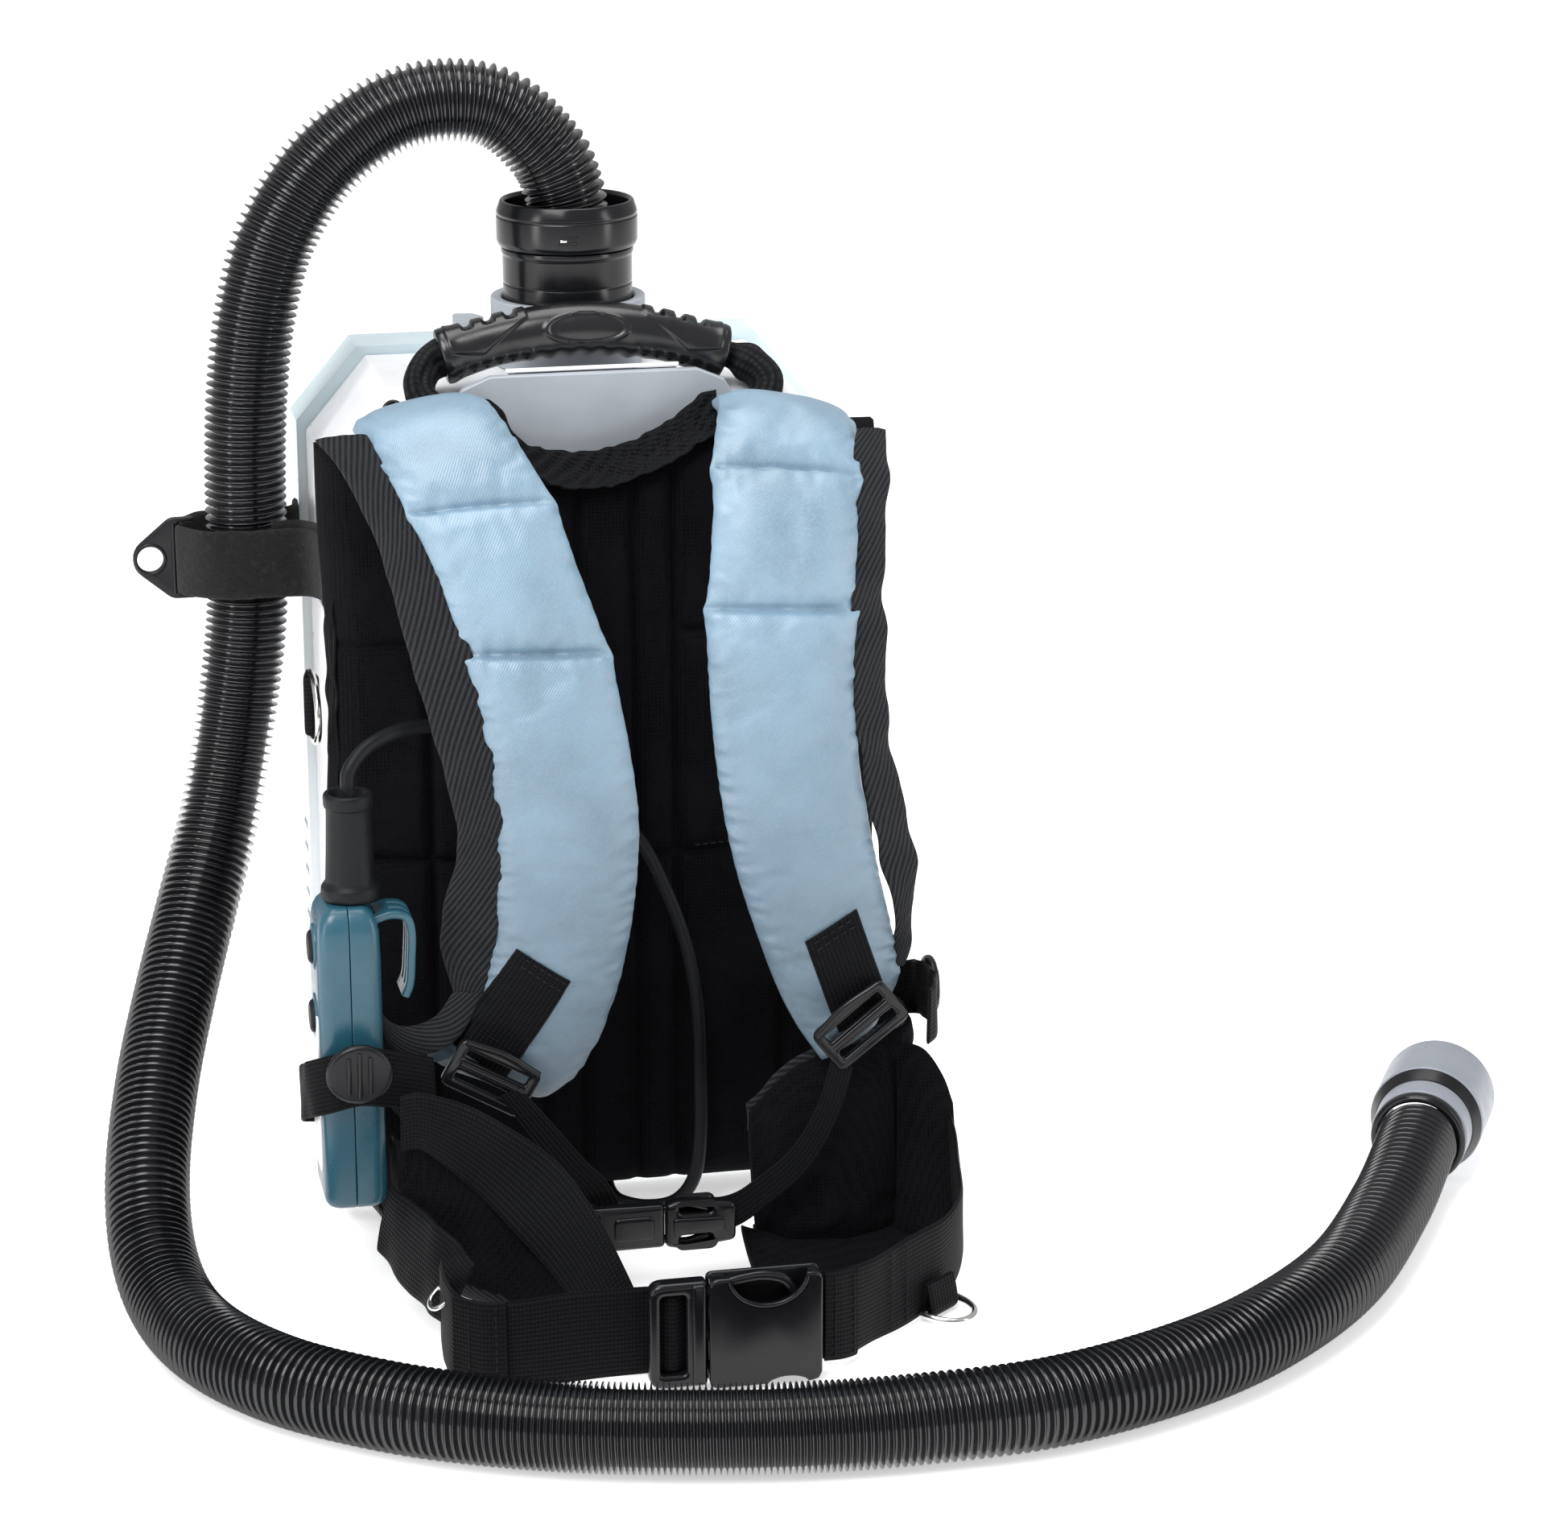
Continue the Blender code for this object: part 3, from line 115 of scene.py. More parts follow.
def tint(tree, factor, first, second):
    """A mix of two colours, each a tuple or a socket."""
    made = node(tree, "Mix", {0: factor}, data_type="RGBA")
    for number, value in ((6, first), (7, second)):
        if isinstance(value, tuple):
            made.inputs[number].default_value = (*value, 1.0)
        else:
            tree.links.new(value, made.inputs[number])
    return made.outputs[2]


def scaled(colour, factor):
    return tuple(channel * factor for channel in colour)


def shades(tree, value, low, high, colour, darker, lighter):
    """A colour from a darker to a lighter shade as the value goes from low to high."""
    return tint(tree, spread(tree, value, low, high), scaled(colour, darker), scaled(colour, lighter))


def flecked(tree, tone, value, low, high, amount, colour):
    """A tone with some of another colour in it where the value is high."""
    return tint(tree, product(tree, spread(tree, value, low, high), amount), tone, colour)


def bump(tree, shader, height, distance, strength):
    made = node(tree, "Bump", {"Height": height, "Distance": distance, "Strength": strength})
    tree.links.new(made.outputs["Normal"], shader.inputs["Normal"])


def painted(tree, shader, tone, roughness=None):
    """Link the finished tone, and a roughness where it varies."""
    tree.links.new(tone, shader.inputs["Base Color"])
    if roughness is not None:
        tree.links.new(roughness, shader.inputs["Roughness"])


def object_points(tree):
    return node(tree, "TexCoord").outputs["Object"]


def height_above_floor(tree, where):
    return node(tree, "SeparateXYZ", {0: where}).outputs["Z"]


def cloth_map(tree):
    """Across and along the cloth, in metres."""
    uv = node(tree, "UVMap", uv_map=CLOTH_MAP).outputs["UV"]
    split = node(tree, "SeparateXYZ", {0: uv})
    return split.outputs["X"], split.outputs["Y"]


def wave(tree, value, pitch):
    """0 to 1 and back over each pitch."""
    return spread(tree, maths(tree, "SINE", product(tree, value, 2 * math.pi / pitch)), -1.0, 1.0)


def plastic(name, colour, roughness, grain=0.00006, wear=0.12, coat=0.0, gloss=0.5, lower=None):
    """Moulded plastic: fine grain, uneven gloss, faint dust and rubbed edges.

    A lower colour takes over below the machine's shoulders.
    """
    material, tree, shader = new_material(name, colour, roughness, Coat_Weight=coat,
                                          Coat_Roughness=0.14, Specular_IOR_Level=gloss)
    where = object_points(tree)
    tone = shades(tree, noise_at(tree, where, 38.0, 4.0), 0.35, 0.7, colour, 0.93, 1.06)
    if lower:
        tone = tint(tree, spread(tree, height_above_floor(tree, where), *SHOULDER_FADE), lower, tone)
    edge = node(tree, "NewGeometry").outputs["Pointiness"]
    light = tuple(min(1.0, channel * 1.5 + 0.04) for channel in colour)
    smear = spread(tree, noise_at(tree, where, 120.0, 5.0), 0.3, 0.7, roughness * 0.82,
                   min(1.0, roughness * 1.22))
    painted(tree, shader, flecked(tree, tone, edge, 0.51, 0.56, wear, light), smear)
    bump(tree, shader, noise_at(tree, where, 2200.0, 2.0), grain, 0.6)
    return material


def metal(name, colour, roughness):
    material, tree, shader = new_material(name, colour, roughness, Metallic=1.0)
    scratch = noise_at(tree, object_points(tree), 900.0, 5.0, 0.7)
    worn = spread(tree, scratch, 0.3, 0.7, roughness * 0.6, roughness * 1.6)
    tree.links.new(worn, shader.inputs["Roughness"])
    bump(tree, shader, scratch, 0.00003, 0.5)
    return material


def rubber(name, colour, roughness):
    material, tree, shader = new_material(name, colour, roughness, Specular_IOR_Level=0.2)
    where = object_points(tree)
    cloud = noise_at(tree, where, 60.0, 4.0)
    painted(tree, shader, shades(tree, cloud, 0.3, 0.7, colour, 0.8, 1.35),
            spread(tree, cloud, 0.3, 0.7, roughness * 0.9, roughness * 1.15))
    bump(tree, shader, noise_at(tree, where, 1600.0, 3.0), 0.00012, 0.5)
    return material


def satin(name, colour):
    """Satin-weave nylon: fine slanting lines, threads of uneven tone, soft sheen, soft blotches of painted
    sheen, and painted shade that darkens it towards the floor.
    """
    material, tree, shader = new_material(name, colour, 0.4, Sheen_Weight=0.1,
                                          Sheen_Roughness=0.35, Specular_IOR_Level=0.95)
    across, along = cloth_map(tree)
    slant = wave(tree, maths(tree, "ADD", across, product(tree, along, 0.8)), 0.0012)
    threads = wave(tree, along, 0.0005)
    where = object_points(tree)
    fine = noise_at(tree, where, 900.0, 2.0)
    # Painted sheen: soft blotches a few centimetres wide, lighter and darker, for the satin's uneven sheen.
    tone = shades(tree, noise_at(tree, where, 30.0, 2.0), 0.36, 0.64, colour, 0.82, 1.12)
    tone = tint(tree, product(tree, slant, 0.55), tone, scaled(colour, 0.66))
    tone = flecked(tree, tone, fine, 0.4, 0.7, 0.25, scaled(colour, 1.3))
    # Painted shade: the satin is darkened towards the floor, where less light reaches the lower strap.
    painted_shade = tint(tree, 0.75, tone, scaled(colour, 0.34))
    tone = tint(tree, spread(tree, height_above_floor(tree, where), *STRAP_PAINTED_SHADE), painted_shade, tone)
    painted(tree, shader, tone, spread(tree, fine, 0.3, 0.7, 0.30, 0.46))
    bump(tree, shader, maths(tree, "ADD", slant, product(tree, threads, 0.5)), 0.0001, 0.6)
    return material


def twill(name, colour):
    """Binding tape of twill: ribs that slant steeply along it."""
    material, tree, shader = new_material(name, colour, 0.72, Sheen_Weight=0.04,
                                          Sheen_Roughness=0.5, Specular_IOR_Level=0.15)
    across, along = cloth_map(tree)
    ribs = wave(tree, maths(tree, "ADD", along, product(tree, across, 1.0 / TWILL_SLOPE)), TWILL_PITCH)
    thread = wave(tree, across, 0.0006)
    fuzz = noise_at(tree, object_points(tree), 1400.0)
    tone = tint(tree, ribs, scaled(colour, 0.3), scaled(colour, 2.4))
    painted(tree, shader, flecked(tree, tone, fuzz, 0.55, 0.75, 0.5, scaled(colour, 3.5)))
    bump(tree, shader, maths(tree, "ADD", ribs, product(tree, thread, 0.35)), 0.0006, 0.9)
    return material


def webbing_cloth(name, colour, pitch=0.0019):
    """Ribbed belt webbing: rows of small blocks between fine ribs."""
    material, tree, shader = new_material(name, colour, 0.62, Sheen_Weight=0.02,
                                          Sheen_Roughness=0.45, Specular_IOR_Level=0.08)
    across, along = cloth_map(tree)
    ribs = wave(tree, across, pitch)
    bars = wave(tree, along, pitch * 0.8)
    block = product(tree, ribs, spread(tree, bars, 0.0, 1.0, 0.35, 1.0))
    fuzz = noise_at(tree, object_points(tree), 1500.0)
    tone = tint(tree, block, scaled(colour, 0.45), scaled(colour, 2.0))
    painted(tree, shader, flecked(tree, tone, fuzz, 0.55, 0.75, 0.45, scaled(colour, 3.4)))
    bump(tree, shader, block, 0.00035, 0.8)
    return material


def spacer_mesh(name, colour):
    """Black spacer mesh: small round cells in a knitted face over foam."""
    material, tree, shader = new_material(name, colour, 0.9, Sheen_Weight=0.01,
                                          Sheen_Roughness=0.6, Specular_IOR_Level=0.04)
    where = object_points(tree)
    cells = node(tree, "TexVoronoi", {"Vector": where, "Scale": 620.0, "Randomness": 0.25})
    hole = spread(tree, cells.outputs["Distance"], 0.1, 0.55)
    tone = tint(tree, hole, scaled(colour, 0.4), scaled(colour, 1.7))
    cloud = noise_at(tree, where, 45.0, 4.0)
    painted(tree, shader, flecked(tree, tone, cloud, 0.45, 0.75, 0.5, scaled(colour, 2.4)))
    bump(tree, shader, hole, 0.0003, 0.7)
    return material


def loop_pile(name, colour):
    """Fuzzy face of a hook-and-loop band."""
    material, tree, shader = new_material(name, colour, 0.95, Sheen_Weight=0.12,
                                          Sheen_Roughness=0.6, Specular_IOR_Level=0.1)
    where = object_points(tree)
    fuzz = noise_at(tree, where, 900.0, 6.0, 0.75)
    tone = shades(tree, fuzz, 0.4, 0.7, colour, 0.4, 1.8)
    spots = noise_at(tree, where, 320.0)
    painted(tree, shader, flecked(tree, tone, spots, 0.55, 0.8, 0.6, scaled(colour, 4.0)))
    bump(tree, shader, fuzz, 0.0009, 0.9)
    return material


def paper(name, colour, scale=500.0):
    material, tree, shader = new_material(name, colour, 0.9)
    fibre = noise_at(tree, object_points(tree), scale, 6.0, 0.7)
    painted(tree, shader, shades(tree, fibre, 0.3, 0.7, colour, 0.85, 1.08))
    bump(tree, shader, fibre, 0.0002, 0.6)
    return material


LOOKS = {
    "shell_white": plastic("shell_white", (0.86, 0.875, 0.90), 0.32, wear=0.3),
    "shell_blue": plastic("shell_blue", (0.60, 0.74, 0.80), 0.32, wear=0.3),
    "shell_rear": plastic("shell_rear", (0.60, 0.74, 0.80), 0.32, wear=0.3,
                          lower=(0.80, 0.835, 0.86)),
    "grey_plastic": plastic("grey_plastic", (0.36, 0.39, 0.43), 0.42, wear=0.25),
    "cuff_grey": plastic("cuff_grey", (0.26, 0.28, 0.32), 0.36, wear=0.2),
    "black_gloss": plastic("black_gloss", (0.006, 0.0064, 0.0078), 0.2, 0.00003, wear=0.02, coat=0.09,
                           gloss=0.32),
    "black_plastic": plastic("black_plastic", (0.0065, 0.007, 0.0085), 0.3, wear=0.05, gloss=0.3),
    "teal_plastic": plastic("teal_plastic", (0.018, 0.085, 0.125), 0.3, wear=0.1, coat=0.15),
    "board_green": plastic("board_green", (0.02, 0.17, 0.07), 0.4),
    "hose_plastic": plastic("hose_plastic", (0.008, 0.0085, 0.0105), 0.17, 0.00002, wear=0.01,
                            coat=0.35),
    "rubber": rubber("rubber", (0.0068, 0.0075, 0.009), 0.45),
    "metal": metal("metal", (0.78, 0.77, 0.75), 0.16),
    "strap_satin": satin("strap_satin", (0.222, 0.34, 0.445)),
    "binding": twill("binding", (0.0125, 0.0132, 0.0155)),
    "grip_web": webbing_cloth("grip_web", (0.009, 0.0095, 0.011), 0.0030),
    "grip_plastic": plastic("grip_plastic", (0.006, 0.0064, 0.0078), 0.22, wear=0.1, gloss=0.55),
    "thread": rubber("thread", (0.010, 0.010, 0.012), 0.7),
    "pale_thread": rubber("pale_thread", (0.20, 0.33, 0.44), 0.6),
    "webbing": webbing_cloth("webbing", (0.0044, 0.0047, 0.0058)),
    "mesh_fabric": spacer_mesh("mesh_fabric", (0.0032, 0.0033, 0.0042)),
    "hook_loop": loop_pile("hook_loop", (0.008, 0.008, 0.009)),
    "bag_paper": paper("bag_paper", (0.62, 0.52, 0.36)),
    "filter_white": paper("filter_white", (0.78, 0.78, 0.74), 900.0),
}

SLOT_OF = {entry["node"]: entry["material_slot"] for entry in frame["record"]["subparts"]}
BODY_OF = {name: body for body, names in frame["record"]["behaviour"]["bodies"].items()
           for name in names}


def dress(obj, look):
    obj.data.materials.clear()
    obj.data.materials.append(LOOKS[look])


def dress_cad_nodes():
    """Give every CAD node the finish of its slot."""
    for name, obj in frame["nodes"].items():
        dress(obj, SLOT_OF[name])


# ---------------------------------------------------------------- making pieces

def place(obj, look, nodes=(), body=None):
    """Finish a piece: its look, its body and the CAD nodes it stands for."""
    nodes = (nodes,) if isinstance(nodes, str) else nodes
    dress(obj, look)
    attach(obj, body or (BODY_OF[nodes[0]] if nodes else "root"))
    if nodes:
        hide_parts(*nodes)
    return obj


def linked(name, data):
    """A new object in the scene with that data."""
    obj = bpy.data.objects.new(name, data)
    bpy.context.scene.collection.objects.link(obj)
    return obj


def mesh_object(name, points, faces):
    """A smooth mesh from points in mm in the machine's frame."""
    mesh = bpy.data.meshes.new(name)
    mesh.from_pydata(metres(points).reshape(-1, 3).tolist(), [], faces)
    mesh.shade_smooth()
    return linked(name, mesh)


def smooth_to(mesh, sharp_angle):
    """Smooth shading, except over edges sharper than an angle in degrees."""
    mesh.shade_smooth()
    mesh.set_sharp_from_angle(angle=math.radians(sharp_angle))


def tidy_normals(obj, sharp_angle=50):
    bm = bmesh.new()
    bm.from_mesh(obj.data)
    bmesh.ops.remove_doubles(bm, verts=bm.verts, dist=MERGE_WITHIN)
    bmesh.ops.recalc_face_normals(bm, faces=bm.faces)
    bm.to_mesh(obj.data)
    bm.free()
    smooth_to(obj.data, sharp_angle)
    return obj


def distances(path):
    """How far along a path each of its points is."""
    return np.r_[0.0, np.cumsum(np.linalg.norm(np.diff(path, axis=0), axis=1))]


def points_at(stops, length, path):
    """A path's points at other stops, in the measure of length."""
    return np.stack([np.interp(stops, length, path[:, k]) for k in range(3)], -1)


def full_turn(sides):
    return np.arange(sides) / sides * 2 * math.pi


def squared(values, power):
    """A sine or cosine bent towards a square's; the lower the power, the squarer."""
    return np.sign(values) * np.abs(values) ** power


def skin(name, rows, caps=True, sharp_angle=50):
    """A surface over equal rows of points, in mm, with the cloth map along and across it."""
    rows = np.asarray(rows, float)
    count, wide = rows.shape[:2]
    i = np.arange(count - 1)[:, None] * wide
    j = np.arange(wide)[None, :]
    after = (j + 1) % wide
    faces = np.stack([i + j, i + after, i + wide + after, i + wide + j], -1).reshape(-1, 4).tolist()
    if caps:
        faces.append(list(range(wide))[::-1])
        faces.append([(count - 1) * wide + k for k in range(wide)])
    obj = mesh_object(name, rows, faces)
    along = distances(rows.mean(1)) * MM
    looped = np.concatenate([rows, rows[:, :1]], 1)
    across = np.r_[0.0, np.cumsum(np.linalg.norm(np.diff(looped, axis=1), axis=2).mean(0))] * MM
    layer = obj.data.uv_layers.new(name=CLOTH_MAP)
    near, far = across[:-1], across[1:]
    us = np.broadcast_to(np.stack([near, far, far, near], -1)[None], (count - 1, wide, 4))
    near, far = along[:-1], along[1:]
    vs = np.broadcast_to(np.stack([near, near, far, far], -1)[:, None], (count - 1, wide, 4))
    flat = np.zeros((len(obj.data.loops), 2))
    flat[:us.size, 0] = us.reshape(-1)
    flat[:us.size, 1] = vs.reshape(-1)
    layer.data.foreach_set("uv", flat.reshape(-1))
    return tidy_normals(obj, sharp_angle)


def smooth_route(route, steps):
    """Points along a Catmull-Rom curve through the route, steps to each stretch."""
    pts = [np.asarray(values, float) for values in route]
    pts = [2 * pts[0] - pts[1]] + pts + [2 * pts[-1] - pts[-2]]
    curve = []
    for index in range(1, len(pts) - 2):
        before, start, end, after = pts[index - 1:index + 3]
        for step in range(steps):
            t = step / steps
            curve.append(0.5 * (2 * start + (end - before) * t
                                + (2 * before - 5 * start + 4 * end - after) * t ** 2
                                + (3 * start - before - 3 * end + after) * t ** 3))
    curve.append(pts[-2])
    return np.array(curve)


def unit(vectors):
    return vectors / np.linalg.norm(vectors, axis=-1, keepdims=True)


def route_frames(path):
    """Distance along a path, with a side vector and an up vector that don't twist."""
    tangents = unit(np.gradient(path, axis=0))
    start = np.array((0.0, 1.0, 0.0)) if abs(tangents[0][1]) < 0.9 else np.array((1.0, 0, 0))
    side = start - tangents[0] * start.dot(tangents[0])
    sides = []
    for tangent in tangents:
        side = side - tangent * side.dot(tangent)
        side = side / np.linalg.norm(side)
        sides.append(side)
    sides = np.array(sides)
    return distances(path), sides, np.cross(tangents, sides)


def round_rows(path, radius, sides=20):
    """Rings round a path; radius is a number or one number a point."""
    _, side, up = route_frames(path)
    turn = full_turn(sides)[None, :, None]
    ring = np.cos(turn) * side[:, None] + np.sin(turn) * up[:, None]
    reach = np.broadcast_to(np.asarray(radius, float), (len(path),))
    return path[:, None] + ring * reach[:, None, None]


def resampled(path, spacing):
    length = distances(path)
    count = max(2, int(round(length[-1] / spacing)) + 1)
    return points_at(np.linspace(0, length[-1], count), length, path)


def wobble(points, scale, seed=0.0):
    """Smooth noise from -1 to 1 at each point, with features about scale mm wide."""
    shift = Vector((seed * 7.3, seed * 3.1, seed * 5.7))
    return np.array([noise.noise(Vector(p) / scale + shift) for p in points.reshape(-1, 3)]
                    ).reshape(points.shape[:-1])


def softened(name, width, look=None):
    """A CAD node's own shape with its hard edges rounded, in that node's place."""
    bm = bmesh.new()
    bm.from_mesh(frame["nodes"][name].data)
    bmesh.ops.remove_doubles(bm, verts=bm.verts, dist=10 * MERGE_WITHIN)
    bmesh.ops.dissolve_limit(bm, angle_limit=math.radians(1.0), verts=bm.verts, edges=bm.edges)
    bmesh.ops.recalc_face_normals(bm, faces=bm.faces)
    mesh = bpy.data.meshes.new(name + "_finish")
    bm.to_mesh(mesh)
    bm.free()
    obj = linked(name + "_finish", mesh)
    smooth_to(mesh, 40)
    edge = obj.modifiers.new("edges", "BEVEL")
    edge.width = width * MM
    edge.segments = 3
    edge.limit_method = "ANGLE"
    edge.angle_limit = math.radians(35)
    edge.harden_normals = True
    return place(obj, look or SLOT_OF[name], name)


def rounded_outline(corners, radius, steps=5, closed=True):
    """Corner points with each corner rounded; radius is one number, or one for each."""
    corners = [np.array(corner, float) for corner in corners]
    radii = np.broadcast_to(radius, (len(corners),))
    made = []
    for index, corner in enumerate(corners):
        if not closed and index in (0, len(corners) - 1):
            made.append(corner)
            continue
        before = corners[index - 1] - corner
        after = corners[(index + 1) % len(corners)] - corner
        far_before, far_after = np.linalg.norm(before), np.linalg.norm(after)
        reach = min(radii[index], far_before * 0.49, far_after * 0.49)
        start = corner + before / far_before * reach
        end = corner + after / far_after * reach
        for step in range(steps + 1):
            t = step / steps
            made.append((1 - t) ** 2 * start + 2 * t * (1 - t) * corner + t * t * end)
    return made


def rectangle(left, low, right, high, radius, steps=3):
    return rounded_outline([(left, low), (right, low), (right, high), (left, high)], radius, steps)


def oval(centre, reach_u, reach_v, count, start=0.0, end=360.0):
    angles = np.radians(np.linspace(start, end, count, endpoint=end - start < 360))
    return [(centre[0] + reach_u * math.cos(a), centre[1] + reach_v * math.sin(a)) for a in angles]


def plate(name, outlines, thick, rounding, centre, across=(1, 0, 0), up=(0, 0, 1)):
    """A flat moulded piece of an outline and its holes, with rounded edges, along across and up."""
    curve = bpy.data.curves.new(name, "CURVE")
    curve.dimensions = "2D"
    curve.fill_mode = "BOTH"
    curve.extrude = (thick / 2 - rounding) * MM
    curve.bevel_depth = rounding * MM
    curve.bevel_resolution = 3
    curve.offset = -rounding * MM
    for outline in outlines:
        spline = curve.splines.new("POLY")
        spline.use_cyclic_u = True
        spline.points.add(len(outline) - 1)
        for target, (u, v) in zip(spline.points, outline):
            target.co = (u * MM, v * MM, 0.0, 1.0)
    shape = linked(name, curve)
    graph = bpy.context.evaluated_depsgraph_get()
    mesh = bpy.data.meshes.new_from_object(shape.evaluated_get(graph))
    bpy.data.objects.remove(shape)
    bpy.data.curves.remove(curve)
    flat = np.empty(len(mesh.vertices) * 3)
    mesh.vertices.foreach_get("co", flat)
    flat = flat.reshape(-1, 3) / MM
    across, up = unit(np.array(across, float)), unit(np.array(up, float))
    placed = (np.array(centre, float) + flat[:, :1] * across + flat[:, 1:2] * up
              + flat[:, 2:] * np.cross(across, up))
    mesh.vertices.foreach_set("co", metres(placed).reshape(-1))
    return tidy_normals(linked(name, mesh), 40)


def lathe(name, profile, rounding, centre, axis, sides, closed=True):
    """A turned piece of (radius, height) points, rounded where rounding is given.

    Closed makes a wall, and open a solid.
    """
    if rounding:
        profile = rounded_outline(profile, rounding, 3, closed)
    axis = unit(np.array(axis, float))
    side = unit(np.cross(axis, (0.0, 1.0, 0.0) if abs(axis[1]) < 0.9 else (1.0, 0.0, 0.0)))
    turn = full_turn(sides)[:, None]
    ring = np.cos(turn) * side + np.sin(turn) * np.cross(axis, side)
    profile = list(profile) + ([profile[0]] if closed else [])
    rows = [np.array(centre, float) + ring * radius + axis * height for radius, height in profile]
    return skin(name, rows, caps=False, sharp_angle=40)


def joined(name, parts):
    """One object of several, with their surfaces side by side."""
    bm = bmesh.new()
    for part in parts:
        bm.from_mesh(part.data)
    mesh = bpy.data.meshes.new(name)
    bm.to_mesh(mesh)
    bm.free()
    for part in parts:
        bpy.data.objects.remove(part)
    smooth_to(mesh, 40)
    return linked(name, mesh)


def stitches(name, lines, pitch=3.4, thick=0.42):
    """Sewing thread: short stitches along lines of points that lie just on the cloth."""
    lobes = 6
    angle = full_turn(lobes)[:, None]
    faces, verts = [], []
    for line in lines:
        path = resampled(np.array(line, float), 0.5)
        total = np.linalg.norm(np.diff(path, axis=0), axis=1).sum()
        count = max(1, int(total / pitch))
        share = np.linspace(0, 1, len(path))
        for index in range(count):
            spine = points_at([(index + offset) / count for offset in (0.14, 0.5, 0.86)], share, path)
            tangent = unit(spine[2] - spine[0])
            side = unit(np.cross(tangent, (0.13, 0.9, 0.41)))
            ring = (np.cos(angle) * side + np.sin(angle) * np.cross(tangent, side)) * thick
            base = len(verts)
            for middle, radius in zip(spine, (0.45, 1.0, 0.45)):
                verts.extend(middle + ring * radius)
            for low in (base, base + lobes):
                for lobe in range(lobes):
                    after = low + (lobe + 1) % lobes
                    faces.append((low + lobe, after, after + lobes, low + lobe + lobes))
            faces.append([base + k for k in range(lobes)][::-1])
            faces.append([base + 2 * lobes + k for k in range(lobes)])
    return place(tidy_normals(mesh_object(name, verts, faces)), "thread")


# ---------------------------------------------------------------- camera, light and floor

CAMERA_AT = (-296.0, -1773.0, 746.0)
CAMERA_TURN = math.radians(12)       # to the right of straight at the harness
CAMERA_DIP = math.radians(17)
LIGHTS = (("key", (-0.8, -1.1, 2.1), 0.25, (1.3, 1.3), 40),
          ("left_strip", (-1.9, -1.0, 0.7), 0.25, (0.4, 1.5), 12),
          ("right_strip", (1.9, -1.0, 0.7), 0.25, (0.4, 1.5), 9),
          ("top", (0.1, 0.3, 2.3), 0.2, (1.6, 1.2), 24))    # place, height aimed at, size and watts


def make_camera():
    data = bpy.data.cameras.new("camera")
    data.lens = 100.0
    data.sensor_width = 36.0
    camera = linked("camera", data)
    camera.location = metres(CAMERA_AT)
    look = Vector((math.sin(CAMERA_TURN) * math.cos(CAMERA_DIP),
                   math.cos(CAMERA_TURN) * math.cos(CAMERA_DIP), -math.sin(CAMERA_DIP)))
    camera.rotation_mode = "QUATERNION"
    camera.rotation_quaternion = look.to_track_quat("-Z", "Y")
    bpy.context.scene.camera = camera


def area_light(name, place_at, aim_height, size, power):
    data = bpy.data.lights.new(name, "AREA")
    data.shape = "RECTANGLE"
    data.size, data.size_y = size
    data.energy = power
    light = linked(name, data)
    light.location = place_at
    light.rotation_mode = "QUATERNION"
    towards = Vector((0, 0, aim_height)) - Vector(place_at)
    light.rotation_quaternion = towards.to_track_quat("-Z", "Y")


def make_studio():
    scene = bpy.context.scene
    scene.view_settings.view_transform = "Standard"
    world = bpy.data.worlds.new("studio")
    world.use_nodes = True
    sky = world.node_tree.nodes["Background"].inputs
    sky["Color"].default_value = (1.0, 1.0, 1.0, 1.0)
    sky["Strength"].default_value = 0.48
    scene.world = world
    for settings in LIGHTS:
        area_light(*settings)
    material, tree, shader = new_material("floor", (0.95, 0.95, 0.95), 0.9, Emission_Strength=0.5,
                                          Emission_Color=(1.0, 1.0, 1.0, 1.0))
    cloud = noise_at(tree, object_points(tree), 6.0)
    painted(tree, shader, tint(tree, cloud, (0.955, 0.955, 0.955), (0.965, 0.965, 0.965)))
    bpy.ops.mesh.primitive_plane_add(size=14.0, location=(0, 0, -0.0002))
    floor = bpy.context.object
    floor.name = "floor"
    floor.data.materials.append(material)


# ---------------------------------------------------------------- hose and cable

HOSE_ROUTE = [(1, 72, 424.5), (-1, 72, 436), (-8, 72, 452), (-27, 73, 470), (-51, 74, 475),
              (-77, 74, 469), (-105, 73, 449), (-125, 72, 420), (-135, 71, 388), (-140, 70, 354),
              (-142, 70, 320), (-142.5, 70, 288), (-144, 69, 252), (-151, 64, 208), (-161, 50, 168),
              (-173, 29, 137), (-186, -2, 108), (-197, -35, 82), (-205, -72, 55), (-206, -103, 33),
              (-200, -134, 20.5), (-187, -171, 18.2), (-164, -206, 18), (-135, -232, 18), (-104, -252, 18),
              (-62, -270, 18), (-18, -282, 18), (28, -290, 18), (75, -292, 18), (126, -288, 18),
              (181, -269, 18), (229, -240, 18), (277, -194, 18), (318, -134, 20), (348, -82, 24),
              (353.3, -72.3, 24.6)]
HOSE_RADIUS = 17.7
RIB_HEIGHT = 2.9
HELIX_STEP = 0.25                    # along the hose, between the points where its turns are summed
RIB_STOPS = (0.0, 820.0, 880.0, 985.0, 1040.0, 1180.0, 1300.0, 1500.0)
RIB_PITCH = (3.6, 3.6, 2.35, 2.35, 3.6, 3.7, 4.8, 5.0)     # at those distances along the hose
RIB_SHAPE = [(-0.5, 0.0), (-0.25, 0.05), (-0.14, 0.5), (-0.07, 0.9), (0.0, 1.0), (0.07, 0.9),
             (0.14, 0.5), (0.25, 0.05)]


